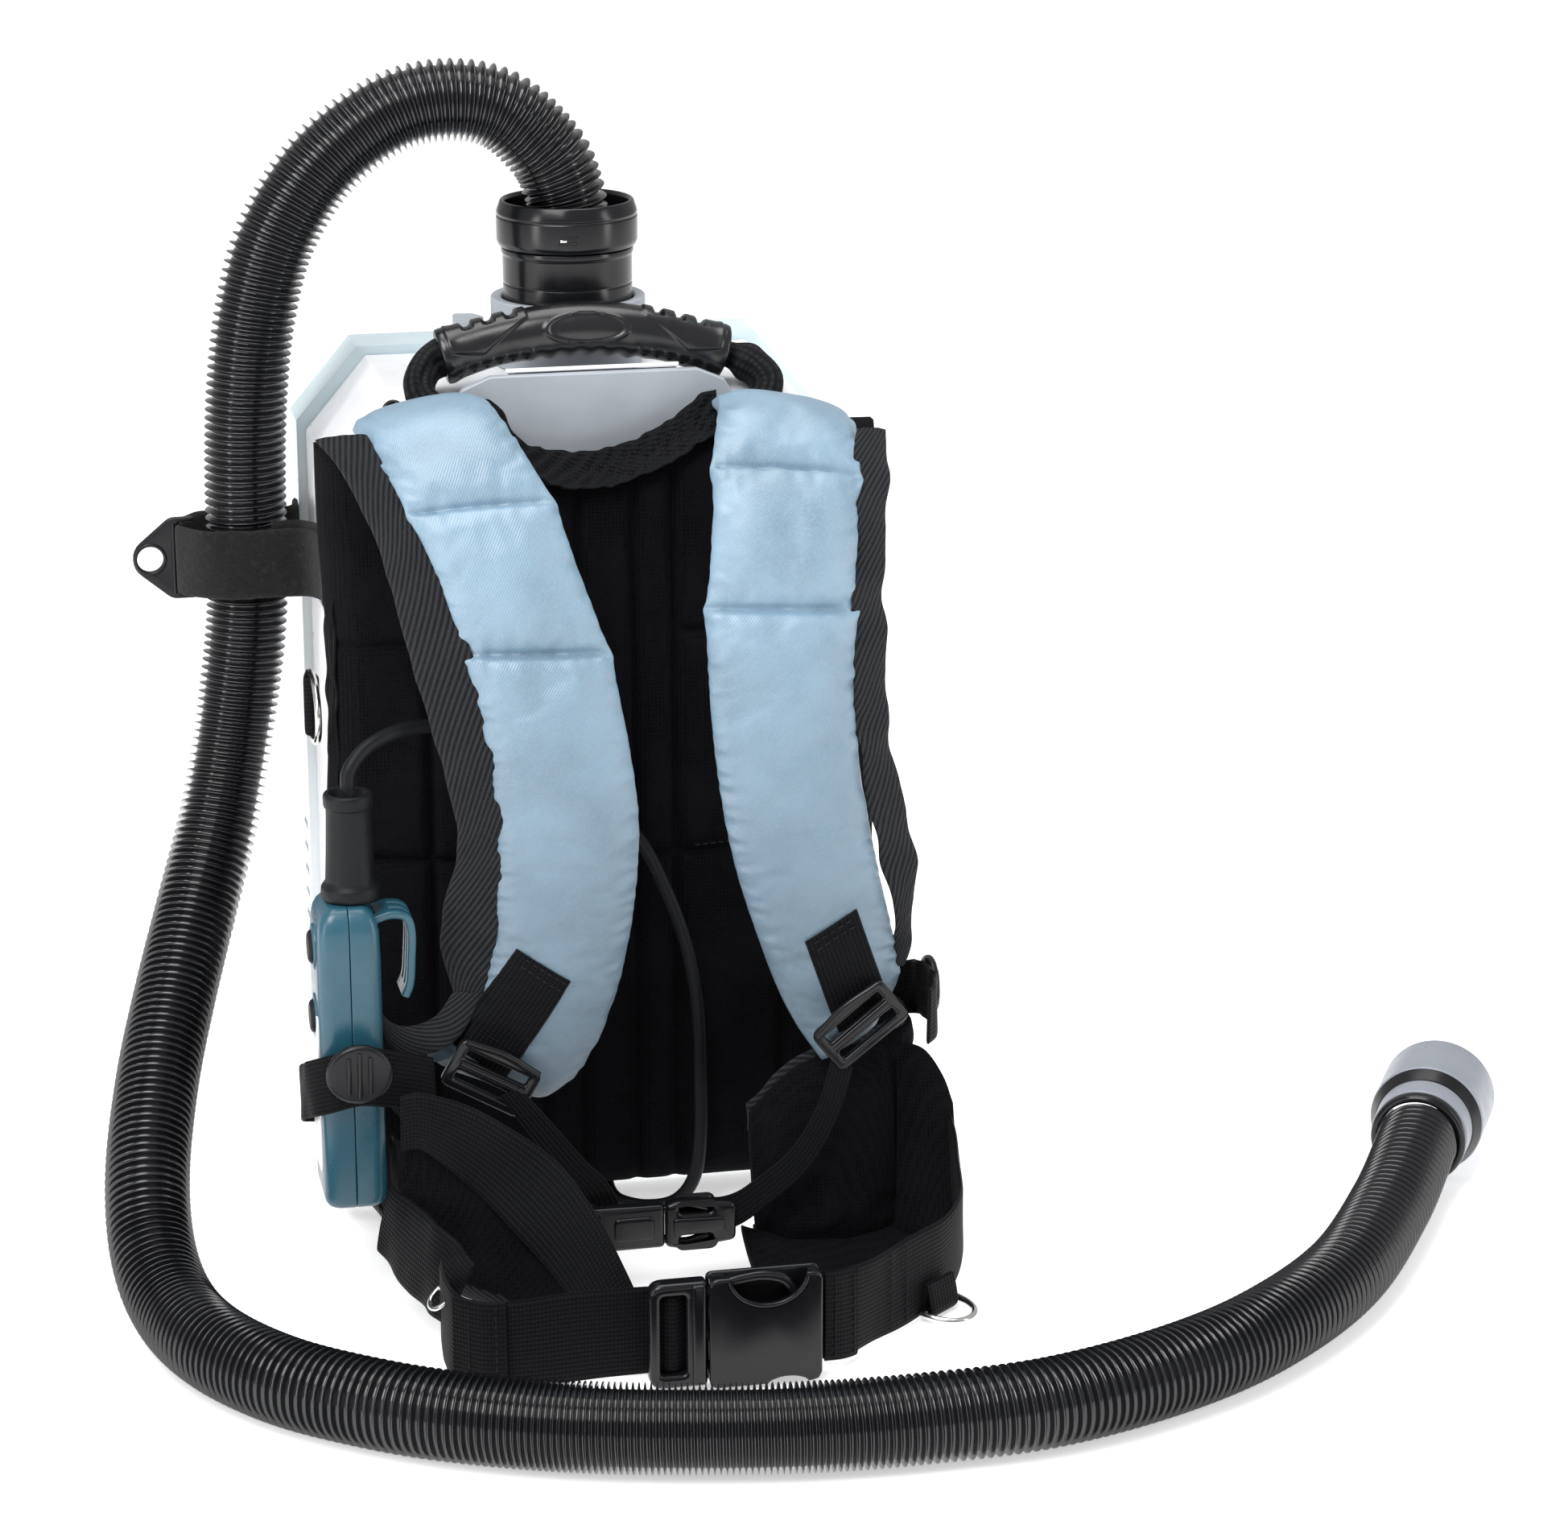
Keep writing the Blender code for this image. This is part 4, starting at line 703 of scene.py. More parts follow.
def make_hose():
    """Helical ribs on a grid that follows the helix, so that each rib's crest is clean."""
    path = resampled(smooth_route(HOSE_ROUTE, 24), 1.5)
    length, side, up = route_frames(path)
    fine = np.arange(0.0, length[-1], HELIX_STEP)
    turns = np.cumsum(HELIX_STEP / np.interp(fine, RIB_STOPS, RIB_PITCH))
    sides = 32
    around = np.arange(sides) / sides
    starts = np.arange(-1, int(turns[-1]) + 1)
    phase = np.concatenate([[start + where for where, _ in RIB_SHAPE] for start in starts])
    crest = np.tile([height for _, height in RIB_SHAPE], len(starts))
    stops = np.interp(phase[:, None] + around[None, :], turns, fine)
    reach = HOSE_RADIUS - RIB_HEIGHT * (1 - crest)
    angle = (around * 2 * math.pi)[None, :, None]
    out = unit(points_at(stops, length, side) * np.cos(angle) + points_at(stops, length, up) * np.sin(angle))
    points = points_at(stops, length, path) + out * reach[:, None, None]
    step = len(RIB_SHAPE)
    faces = []
    for i in range(len(phase) - 1 - step):
        for j in range(sides):
            near = i * sides + j + 1 if j < sides - 1 else (i + step) * sides
            faces.append((i * sides + j, near, near + sides, (i + 1) * sides + j))
    hose = mesh_object("hose_ribbed", points, faces)
    bm = bmesh.new()
    bm.from_mesh(hose.data)
    bmesh.ops.remove_doubles(bm, verts=bm.verts, dist=MERGE_WITHIN / 2)
    bmesh.ops.dissolve_degenerate(bm, edges=bm.edges, dist=MERGE_WITHIN / 2)
    bmesh.ops.delete(bm, geom=[v for v in bm.verts if not v.link_faces], context="VERTS")
    bmesh.ops.recalc_face_normals(bm, faces=bm.faces)
    bm.to_mesh(hose.data)
    bm.free()
    hose.data.shade_smooth()
    place(hose, "hose_plastic", "hose")


CABLE_ROUTE = [(-119, -91, 222), (-118, -90, 230), (-110, -84, 237), (-97, -74, 240),
               (-80, -62, 238), (-60, -50, 230), (-38, -42, 216), (-14, -38, 198), (8, -37, 178),
               (22, -36, 150), (31, -36, 122), (35, -36, 96), (36, -36, 66), (36, -36, 38),
               (33, -36, 18), (25, -34, 7), (13, -30, 3.8), (3, -22, 3.8), (0, -12, 4.5), (0, 0, 6),
               (0, 7.7, 6.5)]
CABLE_RADIUS = 3.0


def make_cable():
    path = resampled(smooth_route(CABLE_ROUTE, 12), 3.0)
    cable = place(skin("cable_sheath", round_rows(path, CABLE_RADIUS, 16)), "rubber", "switch_cable")


# ---------------------------------------------------------------- straps and pads

LEFT_STRAP = [((-106, -9, 351), (-44, -9, 360)), ((-106, -26, 353), (-45, -26, 362)),
              ((-102, -45, 347), (-40, -46, 355)), ((-88, -70, 324), (-26, -70, 326)),
              ((-70, -85, 268), (-7, -85, 265)), ((-62, -92, 212), (2, -92, 208)),
              ((-63, -94, 172), (0, -94, 168)), ((-68, -94, 138), (-8, -94, 128)),
              ((-82, -90, 112), (-22, -90, 94)), ((-92, -87, 104), (-38, -87, 80))]
RIGHT_STRAP = [((45, -9, 357), (108, -9, 344)), ((45, -26, 359), (108, -26, 346)),
               ((40, -46, 352), (105, -45, 341)), ((34, -70, 322), (99, -70, 317)),
               ((29, -83, 274), (95, -83, 270)), ((30, -91, 230), (95, -91, 226)),
               ((37, -94, 183), (102, -94, 180)), ((52, -92, 135), (112, -92, 136)),
               ((63, -91, 109), (112, -91, 122)),
               ((75, -97.5, 90), (101, -97, 106))]
SEAMS_LEFT = (330.0, 273.0)          # heights of the sewn channels
SEAMS_RIGHT = (336.0, 285.0)
HIP_LEFT = [((-113, -27, 22), (-113, -27, 84)), ((-106, -46, 20), (-106, -46, 80)),
            ((-100, -70, 16), (-99, -70, 74)), ((-93, -98, 12), (-90, -98, 64)),
            ((-78, -118, 8), (-74, -118, 50)), ((-56, -132, 5), (-52, -130, 36)),
            ((-36, -140, 4), (-34, -138, 22))]
HIP_RIGHT = [((114, -27, 18), (114, -27, 94)), ((123, -48, 12), (121, -48, 98)),
             ((122, -72, 7), (118, -70, 98)), ((104, -92, 4.5), (96, -84, 97)),
             ((74, -98, 4.5), (68, -88, 90)), ((48, -96, 10), (46, -88, 70))]
GATHER_PITCH = 7.5                   # of the slanting folds in gathered tape
CLOTH_STEP = 1.7                     # from ring to ring of a cushion
TOP_FOLD = 45.0                      # length of strap that lies over the shoulder of the casing
MADE_FLAT_AT = -150.0                # Y of pieces that are made flat and then laid on a strap
SIM_FRAMES = 20
SIM_CAP = 9.0                        # the furthest that a point may move, in mm


def edge_curves(edges, steps):
    """The two edges of a strap, as smooth lines."""
    return [smooth_route(edge, steps) for edge in zip(*edges)]


def strip_frame(first, second):
    """The middle line between two edges, and the vectors across and out of the strip."""
    middle = (first + second) / 2
    across = unit(second - first)
    return middle, across, -unit(np.cross(across, np.gradient(middle, axis=0)))


def even_steps(edges):
    """The two edges of a strap at even distances along its middle."""
    first, second = edge_curves(edges, 16)
    length = distances((first + second) / 2)
    stops = np.linspace(0, length[-1], int(length[-1] / CLOTH_STEP) + 1)
    return [points_at(stops, length, line) for line in (first, second)]


def seam_distances(middle, length, seams):
    """Distance along a strap of each seam's height, on the stretch below its top fold."""
    late = length > TOP_FOLD
    return [length[late][np.argmin(np.abs(middle[late, 2] - seam))] for seam in seams]


def quarter_round(away, reach):
    """0 at no distance and 1 from reach on, as the side of a round."""
    return np.sqrt(1 - (1 - np.clip(away / reach, 0, 1)) ** 2)


def cushion_rows(edges, front, back, seams):
    """Rings of a cushion: full between its sewn channels, drawn in at edges and seams.

    Also gives each ring point's hold, 1 where the cloth is sewn down and 0 where it is free.
    """
    wide, deep = 34, 18                  # points across the front and the back
    margin = 2.2
    first, second = even_steps(edges)
    middle, across, outward = strip_frame(first, second)
    half = np.linalg.norm(second - first, axis=1) / 2
    length = distances(middle)
    stations = seam_distances(middle, length, seams)
    fullness = np.ones(len(middle))
    sewn = np.zeros(len(middle))
    flare = np.zeros(len(middle))
    for end in (length[0] - 2.0, length[-1] + 2.0):
        fullness = np.minimum(fullness, 0.1 + 0.9 * quarter_round(np.abs(length - end), 12.0))
    for station in stations:
        fall = 0.02 + 0.98 * quarter_round(station - length, 26.0)
        rise = 0.38 + 0.62 * quarter_round(length - station, 9.0)
        fullness = np.minimum(fullness, np.where(length <= station, fall, rise))
        sewn = np.maximum(sewn, np.clip(1.7 - np.abs(length - station) / 1.7, 0, 1))
        flare += 2.4 * np.exp(-np.abs(length - station - 1.0) / 7.0)
    top = np.cos(np.linspace(math.pi, 0, wide))
    low = np.cos(np.linspace(0, math.pi, deep + 2))[1:-1]
    share = np.concatenate([top, low])
    lift = np.concatenate([(1 - np.abs(top) ** 3.4) ** 0.62 * front,
                           -(1 - np.abs(low) ** 3.0) ** 0.5 * back])
    thin = np.concatenate([np.full(wide, 0.45), np.full(deep, -0.45)])
    reach = half - margin + flare
    rows = (middle[:, None] + across[:, None] * (share[None] * reach[:, None])[..., None]
            + outward[:, None] * (lift[None] * fullness[:, None] + thin[None])[..., None])
    rim = np.clip((np.abs(share) - 0.90) / 0.06, 0, 1)
    hold = np.maximum(rim[None], sewn[:, None])
    return rows, hold, share, length, stations, outward


def puffed(obj, hold):
    """Blow the cloth up between the places where it is sewn, so that it creases there."""
    pins = obj.vertex_groups.new(name="sewn")
    weights = np.round(hold, 2)
    for level in np.unique(weights[weights > 0]):
        pins.add(np.nonzero(weights == level)[0].tolist(), float(level), "REPLACE")
    cloth = obj.modifiers.new("cloth", "CLOTH")
    settings = cloth.settings
    settings.quality = 5
    settings.mass = 0.12
    settings.tension_stiffness = 12
    settings.compression_stiffness = 8
    settings.shear_stiffness = 4
    settings.bending_stiffness = 0.4
    settings.use_pressure = True
    settings.uniform_pressure_force = 2.0
    settings.shrink_min = -0.015         # the cloth grows by this share, so that it wrinkles
    settings.vertex_group_mass = "sewn"
    settings.pin_stiffness = 2.0
    settings.effector_weights.gravity = 0.0
    cloth.collision_settings.use_collision = False
    cloth.point_cache.frame_end = SIM_FRAMES
    scene = bpy.context.scene
    for step in range(1, SIM_FRAMES + 1):
        scene.frame_set(step)
    graph = bpy.context.evaluated_depsgraph_get()
    count = len(obj.data.vertices) * 3
    before, after = np.empty(count), np.empty(count)
    obj.data.vertices.foreach_get("co", before)
    obj.evaluated_get(graph).data.vertices.foreach_get("co", after)
    shift = (after - before).reshape(-1, 3)
    far = np.linalg.norm(shift, axis=1, keepdims=True)
    cap = SIM_CAP * MM
    shift = shift * (cap * np.tanh(far / cap) / np.maximum(far, 1e-9))
    obj.modifiers.remove(cloth)
    obj.vertex_groups.clear()
    obj.data.vertices.foreach_set("co", (before.reshape(-1, 3) + shift).reshape(-1))
    obj.data.update()
    scene.frame_set(1)


def creased(rows, share, length, stations, outward, seed, depth):
    """Small puckers that run in from the seams and edges, and long soft folds."""
    soft = wobble(rows * np.array((1.0, 0.3, 0.55)), 26.0, seed) * 0.7
    fine = wobble(rows * np.array((0.35, 0.3, 1.7)), 5.0, seed + 2.0)
    rim = np.clip((np.abs(share) - 0.6) / 0.4, 0, 1)[None, :] ** 1.5
    lift = soft * (1 - 0.6 * rim) + fine * 1.7 * rim
    near = np.zeros(len(length))
    for station in stations:
        near = np.maximum(near, np.exp(-(np.abs(length - station) / 8.0) ** 2))
    pucker = wobble(rows * np.array((1.9, 0.3, 0.35)), 8.0, seed + 5.0)
    lift = (lift + pucker * 1.2 * near[:, None]) * depth
    pinned = np.minimum(1.0, np.minimum(length, length[-1] - length) / 12.0)
    return rows + outward[:, None] * (lift * pinned[:, None])[..., None]


def cushion(name, edges, look, node_name, seed, front, back, depth, seams=()):
    """A padded piece of one CAD node, creased and then blown up as cloth."""
    rows, hold, share, length, stations, outward = cushion_rows(edges, front, back, seams)
    rows = creased(rows, share, length, stations, outward, seed, depth)
    obj = skin(name, rows, sharp_angle=180)
    if len(obj.data.vertices) == hold.size:
        puffed(obj, hold.reshape(-1))
    fine = obj.modifiers.new("fine", "SUBSURF")
    fine.levels = 1
    fine.render_levels = 1
    return place(obj, look, node_name)


def seam_line(edges, height, lift):
    """A line across a strap at one of its seams, just in front of the cloth."""
    first, second = even_steps(edges)
    middle, across, outward = strip_frame(first, second)
    length = distances(middle)
    k = int(np.argmin(np.abs(length - seam_distances(middle, length, (height,))[0])))
    half = np.linalg.norm(second[k] - first[k]) / 2 * 0.94
    return [middle[k] + across[k] * half * share + outward[k] * lift for share in (-1, -0.5, 0, 0.5, 1)]


def laid_on(obj, cloth, lift=0.5):
    """Lay a piece, made flat in front of the machine, on the front of another piece."""
    surface = BVHTree.FromObject(cloth, bpy.context.evaluated_depsgraph_get())
    flat = np.empty(len(obj.data.vertices) * 3)
    obj.data.vertices.foreach_get("co", flat)
    points = flat.reshape(-1, 3) / MM - MACHINE_SHIFT
    starts = metres(np.stack([points[:, 0], np.full(len(points), 2 * MADE_FLAT_AT), points[:, 2]], 1))
    depths = np.full(len(points), np.nan)
    for index, start in enumerate(starts):
        hit = surface.ray_cast(Vector(start), Vector((0, 1, 0)))
        if hit[0] is not None:
            depths[index] = hit[0].y / MM - MACHINE_SHIFT[1]
    known = ~np.isnan(depths)
    for index in np.nonzero(~known)[0]:
        near = np.argmin(np.abs(points[known] - points[index]).sum(1))
        depths[index] = depths[known][near]
    points[:, 1] += depths - lift - MADE_FLAT_AT
    obj.data.vertices.foreach_set("co", metres(points).reshape(-1))
    obj.data.update()


def tape(name, route_a, route_b, thick, look, steps=10, body=None, nodes=(), slot=None,
         ruffle=0.0, ruffle_pitch=24.0, bow=0.0, seed=0.0, fray=0.0, gather=0.0):
    """Woven tape between two edge routes, with rounded edges, a ruffle and slanting gathers."""
    edges = smooth_route(route_a, steps), smooth_route(route_b, steps)
    length = distances((edges[0] + edges[1]) / 2)
    share = np.linspace(0, 1, len(resampled((edges[0] + edges[1]) / 2, 1.5)))
    first, second = (points_at(share, length / length[-1], edge) for edge in edges)
    middle, across, outward = strip_frame(first, second)
    half = np.linalg.norm(second - first, axis=1) / 2
    length = distances(middle)
    front = np.linspace(-1, 1, 15)
    front = np.sign(front) * (1 - (1 - np.abs(front)) ** 1.5)
    shares = np.concatenate([front, front[::-1][1:-1]])
    lifts = np.sqrt(np.clip(1 - np.abs(shares) ** 14, 0, 1))
    lifts[len(front):] *= -1
    swing = np.sin(length / ruffle_pitch * 2 * math.pi + seed) * ruffle
    swing = swing + np.sin(length / (ruffle_pitch * 0.61) * 2 * math.pi + seed * 2) * ruffle * 0.4
    ripple = wobble(middle, 9.0, seed) * fray
    arch = (1 - shares ** 2)[None] * bow + shares[None] * swing[:, None]
    drift = wobble(middle, 16.0, seed + 1.0)[:, None] * 2.6
    folds = np.sin((length[:, None] + shares[None] * half[:, None]) / GATHER_PITCH * 2 * math.pi + drift)
    arch = arch + folds * (1 - shares[None] ** 4) * gather
    reach = shares[None] * (half + ripple)[:, None]
    rows = (middle[:, None] + across[:, None] * reach[..., None]
            + outward[:, None] * (lifts[None] * thick / 2 + arch)[..., None])
    return place(skin(name, rows, sharp_angle=60), look, nodes, body)


def bound(name, route_a, route_b, thick=1.8, **folds):
    """A binding of twill tape."""
    tape(name, route_a, route_b, thick, "binding", slot="webbing", **folds)


def even_tape(name, route, width, thick, **others):
    """Upright webbing of even width along a route."""
    half = np.array((0, 0, width / 2))
    route = np.array(route, float)
    return tape(name, route - half, route + half, thick, "webbing", **others)


def make_straps():
    left = cushion("strap_left", LEFT_STRAP, "strap_satin", "shoulder_strap_left", 1.0, 8.2, 4.4, 1.6,
                   SEAMS_LEFT)
    right = cushion("strap_right", RIGHT_STRAP, "strap_satin", "shoulder_strap_right", 4.0, 8.2, 4.4, 1.6,
                    SEAMS_RIGHT)
    bound("binding_left",
          [(-122, -33, 354), (-113, -48, 343), (-102, -62, 319), (-96, -70, 296), (-90, -77, 269),
           (-83, -80, 242), (-76, -84, 212), (-74, -85, 191), (-80, -86, 170), (-82, -86, 151),
           (-78, -90, 131)],
          [(-101, -40, 356), (-93, -55, 342), (-85, -68, 327), (-75, -78, 301), (-66, -86, 274),
           (-61, -90, 246), (-57, -94, 218), (-56, -96, 195), (-58, -97, 171), (-62, -97, 146),
           (-66, -96, 131)],
          ruffle=0.7, bow=1.2, seed=1.0, gather=0.22)
    bound("binding_left_loop",
          [(-78, -91, 132), (-86, -94, 123), (-99, -98, 121), (-108, -99, 127), (-113, -97, 140),
           (-114, -93, 150)],
          [(-66, -96, 132), (-77, -99, 115), (-90, -101, 109), (-104, -100, 112), (-112, -96, 124),
           (-117, -90, 138)],
          ruffle=0.8, bow=1.5, seed=2.0)
    bound("binding_right",
          [(103, -42, 350), (98, -52, 340), (95, -67, 323), (92, -75, 301), (91, -81, 284),
           (91, -84, 267), (91, -90, 245), (92, -92, 233), (96, -95, 206), (100, -97, 184),
           (105, -97, 166), (108, -96, 148), (108, -93, 131)],
          [(117, -34, 347), (116, -44, 338), (112, -60, 321), (109, -67, 300), (108, -72, 283),
           (108, -76, 267), (107, -82, 245), (107, -84, 233), (112, -87, 206), (117, -90, 184),
           (118, -91, 168), (116, -91, 149), (114, -90, 130)],
          ruffle=1.3, ruffle_pitch=33.0, bow=1.2, seed=3.0, gather=0.22)
    for word, edges, seams in (("left", LEFT_STRAP, SEAMS_LEFT), ("right", RIGHT_STRAP, SEAMS_RIGHT)):
        lines = [seam_line(edges, height, 0.9) for height in seams]
        thread = stitches("strap_stitches_" + word, lines, pitch=2.8, thick=0.3)
        dress(thread, "pale_thread")
    flat = MADE_FLAT_AT
    laid_on(tape("strap_patch_left", [(-53, flat, 153), (-67, flat, 132), (-81, flat, 112)],
                 [(-31, flat, 138), (-44, flat, 117), (-58, flat, 95)], 1.6, "webbing"), left)
    laid_on(tape("strap_patch_right", [(68, flat, 147), (76, flat, 124), (84, flat, 102)],
                 [(90, flat, 160), (98, flat, 137), (106, flat, 115)], 1.6, "webbing"), right)
    laid_on(stitches("patch_stitches_left", [[(-50, flat, 149), (-33, flat, 137)],
                                             [(-52, flat, 146), (-35, flat, 134)]]), left, 1.6)
    laid_on(stitches("patch_stitches_right", [[(71, flat, 146), (88, flat, 156)],
                                              [(72.5, flat, 143), (89.5, flat, 153)]]), right, 1.6)


def make_pad():
    """Back pad of spacer mesh over foam, with its upright channels and cross seam."""
    columns = 150
    low = 8.0
    tall = np.linspace(0, 1, 200)[:, None]
    half = 119.0 - 3.0 * np.sin(math.pi * np.clip((tall - 0.45) / 0.5, 0, 1)) ** 2
    x = np.linspace(-1, 1, columns)[None, :] * half
    neck_x = (-120, -56, -46, -38, -28, -17, -2, 10, 25, 34, 44, 56, 120)
    neck_z = (345, 345, 350, 340.5, 333, 330.5, 331, 333.5, 339.5, 345, 351, 346, 345)
    crown = np.interp(np.linspace(-119, 119, columns), neck_x, neck_z)
    z = low + tall * (crown[None, :] - low)
    rim = np.minimum(np.minimum(half - np.abs(x), z - low), crown[None, :] - z)
    full = quarter_round(rim, 15.0)
    groove = np.zeros_like(x)
    for line in (-29.0, -12.0, 12.0, 29.0, -76.0, 76.0):
        groove = np.maximum(groove, np.exp(-((x - line) / 2.6) ** 2))
    groove = np.maximum(groove, np.exp(-((z - 163.0 - 0.0006 * x ** 2) / 2.4) ** 2))
    groove = np.maximum(groove, 0.8 * np.exp(-((z - 262.0) / 2.4) ** 2) * (np.abs(x) > 29))
    points = np.stack([x, -4.0 - 18.5 * full, z], -1)
    lift = wobble(points, 26.0, 3.0) + wobble(points, 8.0, 9.0) * 0.35
    points[..., 1] -= (lift - groove * 4.6) * full
    back = points.copy()
    back[..., 1] = 2.2
    pad = skin("back_pad_padded", np.concatenate([points, back[:, ::-1]], 1), sharp_angle=180)
    place(pad, "mesh_fabric", "back_pad")
    tape("neck_binding",
         [(-50, -8, 363), (-43, -9, 360), (-36, -9, 347), (-28, -9, 341.4), (-18, -9, 338.8),
          (-8, -9, 338.6), (2, -9, 339.6), (12, -9, 342), (24, -9, 347.2), (33.5, -9, 353),
          (42.5, -9, 360.6), (50, -8, 362)],
         [(-46, -25, 347), (-39, -27, 339.5), (-32, -28, 334), (-25, -28.4, 330.4), (-17, -28.4, 328),
          (-8, -28.4, 326.8), (1, -28.4, 327), (11, -28.4, 330), (22, -28.4, 334.2), (32, -28, 339),
          (40, -27, 344), (48, -25, 347)],
         1.8, "webbing", ruffle=0.45, ruffle_pitch=9.0, bow=3.2, seed=5.0, fray=1.2, gather=1.2)
    rim = [(-117.0, z) for z in (24, 90, 160, 230, 300, 338)]
    for word, side in (("left", 1), ("right", -1)):
        tape("pad_binding_" + word, [(x * side, -3, z) for x, z in rim],
             [((x + 2.5) * side, -15, z) for x, z in rim], 1.8, "webbing",
             ruffle=0.5, bow=1.6, seed=7.0 + side)
    stitches("pad_stitches", [[(x, -24.2, 163 + 0.0006 * x ** 2) for x in range(-8, 9, 4)],
                              [(-36, -24.6, 166.8), (-60, -24.6, 168)],
                              [(36, -24.6, 166.8), (60, -24.6, 168)]])


def make_hip_pads():
    cushion("hip_left", HIP_LEFT, "mesh_fabric", "hip_pad_left", 7.0, 5.4, 4.6, depth=0.8)
    cushion("hip_right", HIP_RIGHT, "mesh_fabric", "hip_pad_right", 8.0, 5.4, 4.6, depth=0.8)
    tape("hip_webbing_left",
         [(-105, -125, 101), (-95, -127, 102), (-71, -131, 93), (-46, -141, 76), (-29, -156, 54),
          (-15, -176, 22), (-10, -190, 8)],
         [(-105, -123, 76), (-96, -126, 77), (-82, -133, 66), (-64, -143, 48), (-48, -158, 30),
          (-36, -176, 12), (-30, -190, 3)], 1.8, "webbing", ruffle=1.0, ruffle_pitch=55, seed=3.0)
    tape("hip_leaf_left",
         [(-107, -119, 80), (-94, -122, 77), (-80, -128, 69), (-63, -138, 54), (-47, -152, 36),
          (-35, -169, 19)],
         [(-106, -120, 58), (-98, -125, 44), (-88, -133, 32), (-74, -144, 23), (-58, -155, 14),
          (-42, -172, 7)],
         1.8, "mesh_fabric", ruffle=0.6, bow=1.5, seed=4.0)
    tape("hip_tail_left",
         [(-114, -112, 28), (-108, -130, 22), (-102, -150, 20), (-95, -174, 20)],
         [(-108, -113, 58), (-101, -130, 56), (-93, -150, 54), (-82, -174, 46)],
         1.8, "webbing", ruffle=0.8, ruffle_pitch=30, bow=1.0, seed=6.0)
    tape("hip_wing_right",
         [(112, -86, 94), (123, -88, 90), (131, -90, 78), (135, -92, 66)],
         [(110, -93, 5), (121, -100, 6), (130, -106, 9), (135, -108, 15)],
         3.0, "mesh_fabric", bow=1.0, seed=5.0)
    tape("hip_flap_right",
         [(42, -96, 20), (58, -98, 14), (78, -99, 11), (100, -94, 11), (120, -80, 14)],
         [(42, -124, 9), (60, -130, 5), (80, -130, 4), (104, -122, 4), (124, -104, 6)],
         2.4, "mesh_fabric", bow=1.2, ruffle=0.5, seed=11.0)
    for word, edges, seed in (("left", HIP_LEFT, 4.0), ("right", HIP_RIGHT, 5.0)):
        low, high = edge_curves(edges, 4)
        _, across, outward = strip_frame(low, high)
        bound("hip_binding_" + word, high + across * 1.2, high - across * 11.0 + outward * 4.4, 1.6,
              steps=3, ruffle=0.5, bow=1.2, seed=seed)
        bound("hip_hem_" + word, low - across * 1.2, low + across * 8.0 + outward * 4.4, 1.6,
              steps=3, ruffle=0.4, bow=1.0, seed=seed - 5.0)


STRAP_WEB_LEFT = [(-89, -109, 98), (-100, -114, 103), (-118, -119, 108), (-135, -115, 104),
                  (-141, -98, 96), (-139, -70, 84), (-131, -36, 70), (-123, -14, 60),
                  (-121.6, 4, 55), (-118, 20, 53), (-114, 36, 52)]
STRAP_WEB_RIGHT = [(120, -108, 112), (125, -99, 112), (129, -74, 109), (129, -46, 103),
                   (125, -20, 92), (122, -2, 86), (119, 12, 82), (114, 32, 78)]
BELT_LEFT = [(-95, -166, 26.2), (-95, -176, 23.2), (-92, -189, 21.2),
             (-82, -198, 21.2), (-66, -203.1, 23.2), (-40, -203.1, 24.2), (-2, -203.1, 24.2)]
BELT_RIGHT = [(131, -86, 50.2), (133, -106, 36.2), (129, -130, 25.2), (118, -148, 20.2),
              (104, -162, 20.2), (84, -180, 20.2), (66, -197, 22.2), (54, -203.1, 24.2),
              (30, -203.1, 24.2)]
CHEST_LEFT = [((-62, -108.5, 91), (-54, -108.5, 95)), ((-50, -110, 74), (-41, -110, 79)),
              ((-38, -110.5, 57), (-28, -110.5, 62)), ((-29, -109, 45), (-17, -109, 49)),
              ((-26, -106.6, 36), (-12, -106.6, 37)), ((-27, -106.6, 26), (-12, -106.6, 26))]
CHEST_RIGHT = [((79, -106, 97), (88, -106, 91)), ((72, -108, 76), (81, -108, 70)),
               ((61, -108.5, 58), (69, -108.5, 49)), ((47, -107.5, 46), (52, -107.5, 33.5)),
               ((34, -106.8, 38.5), (35, -106.8, 23)), ((12, -106.8, 38), (12, -106.8, 22))]


def make_webbings():
    for name, route, width, thick, folds in (
            ("strap_web_left", STRAP_WEB_LEFT, 25, 1.7, {"ruffle": 0.5, "seed": 1.0}),
            ("strap_web_right", STRAP_WEB_RIGHT, 25, 1.7, {"ruffle": 0.5, "seed": 2.0}),
            ("belt_web_left", BELT_LEFT, 38, 1.9, {"ruffle": 0.6, "ruffle_pitch": 60, "seed": 3.0}),
            ("belt_web_right", BELT_RIGHT, 38, 1.9, {"ruffle": 0.6, "ruffle_pitch": 60, "seed": 4.0})):
        even_tape(name, route, width, thick, nodes=name.replace("web", "webbing"), **folds)
    for word, edges in (("left", CHEST_LEFT), ("right", CHEST_RIGHT)):
        tape("chest_web_" + word, *zip(*edges), 1.5, "webbing", nodes="chest_webbing_" + word)
    even_tape("belt_fold_left", [(-93.6, -190, 21.4), (-82.9, -199.8, 21.4), (-74.5, -203.1, 22.4)], 39,
              1.9, ruffle=0.3)
    even_tape("belt_fold_right", [(69, -197, 22), (61, -202.2, 23), (54, -204.9, 24)], 39, 1.9,
              ruffle=0.3)
    stitches("belt_stitches",
             [[(-88.6, -196.2, z) for z in (4, 20, 38)], [(-78.6, -202.8, z) for z in (4, 22, 40)],
              [(67.6, -199.6, z) for z in (4, 22, 39)], [(58.6, -204.6, z) for z in (5, 24, 41)],
              [(88, -178.8, z) for z in (3, 20, 38)], [(96, -171.6, z) for z in (3, 20, 38)]])


# ---------------------------------------------------------------- carrying grip

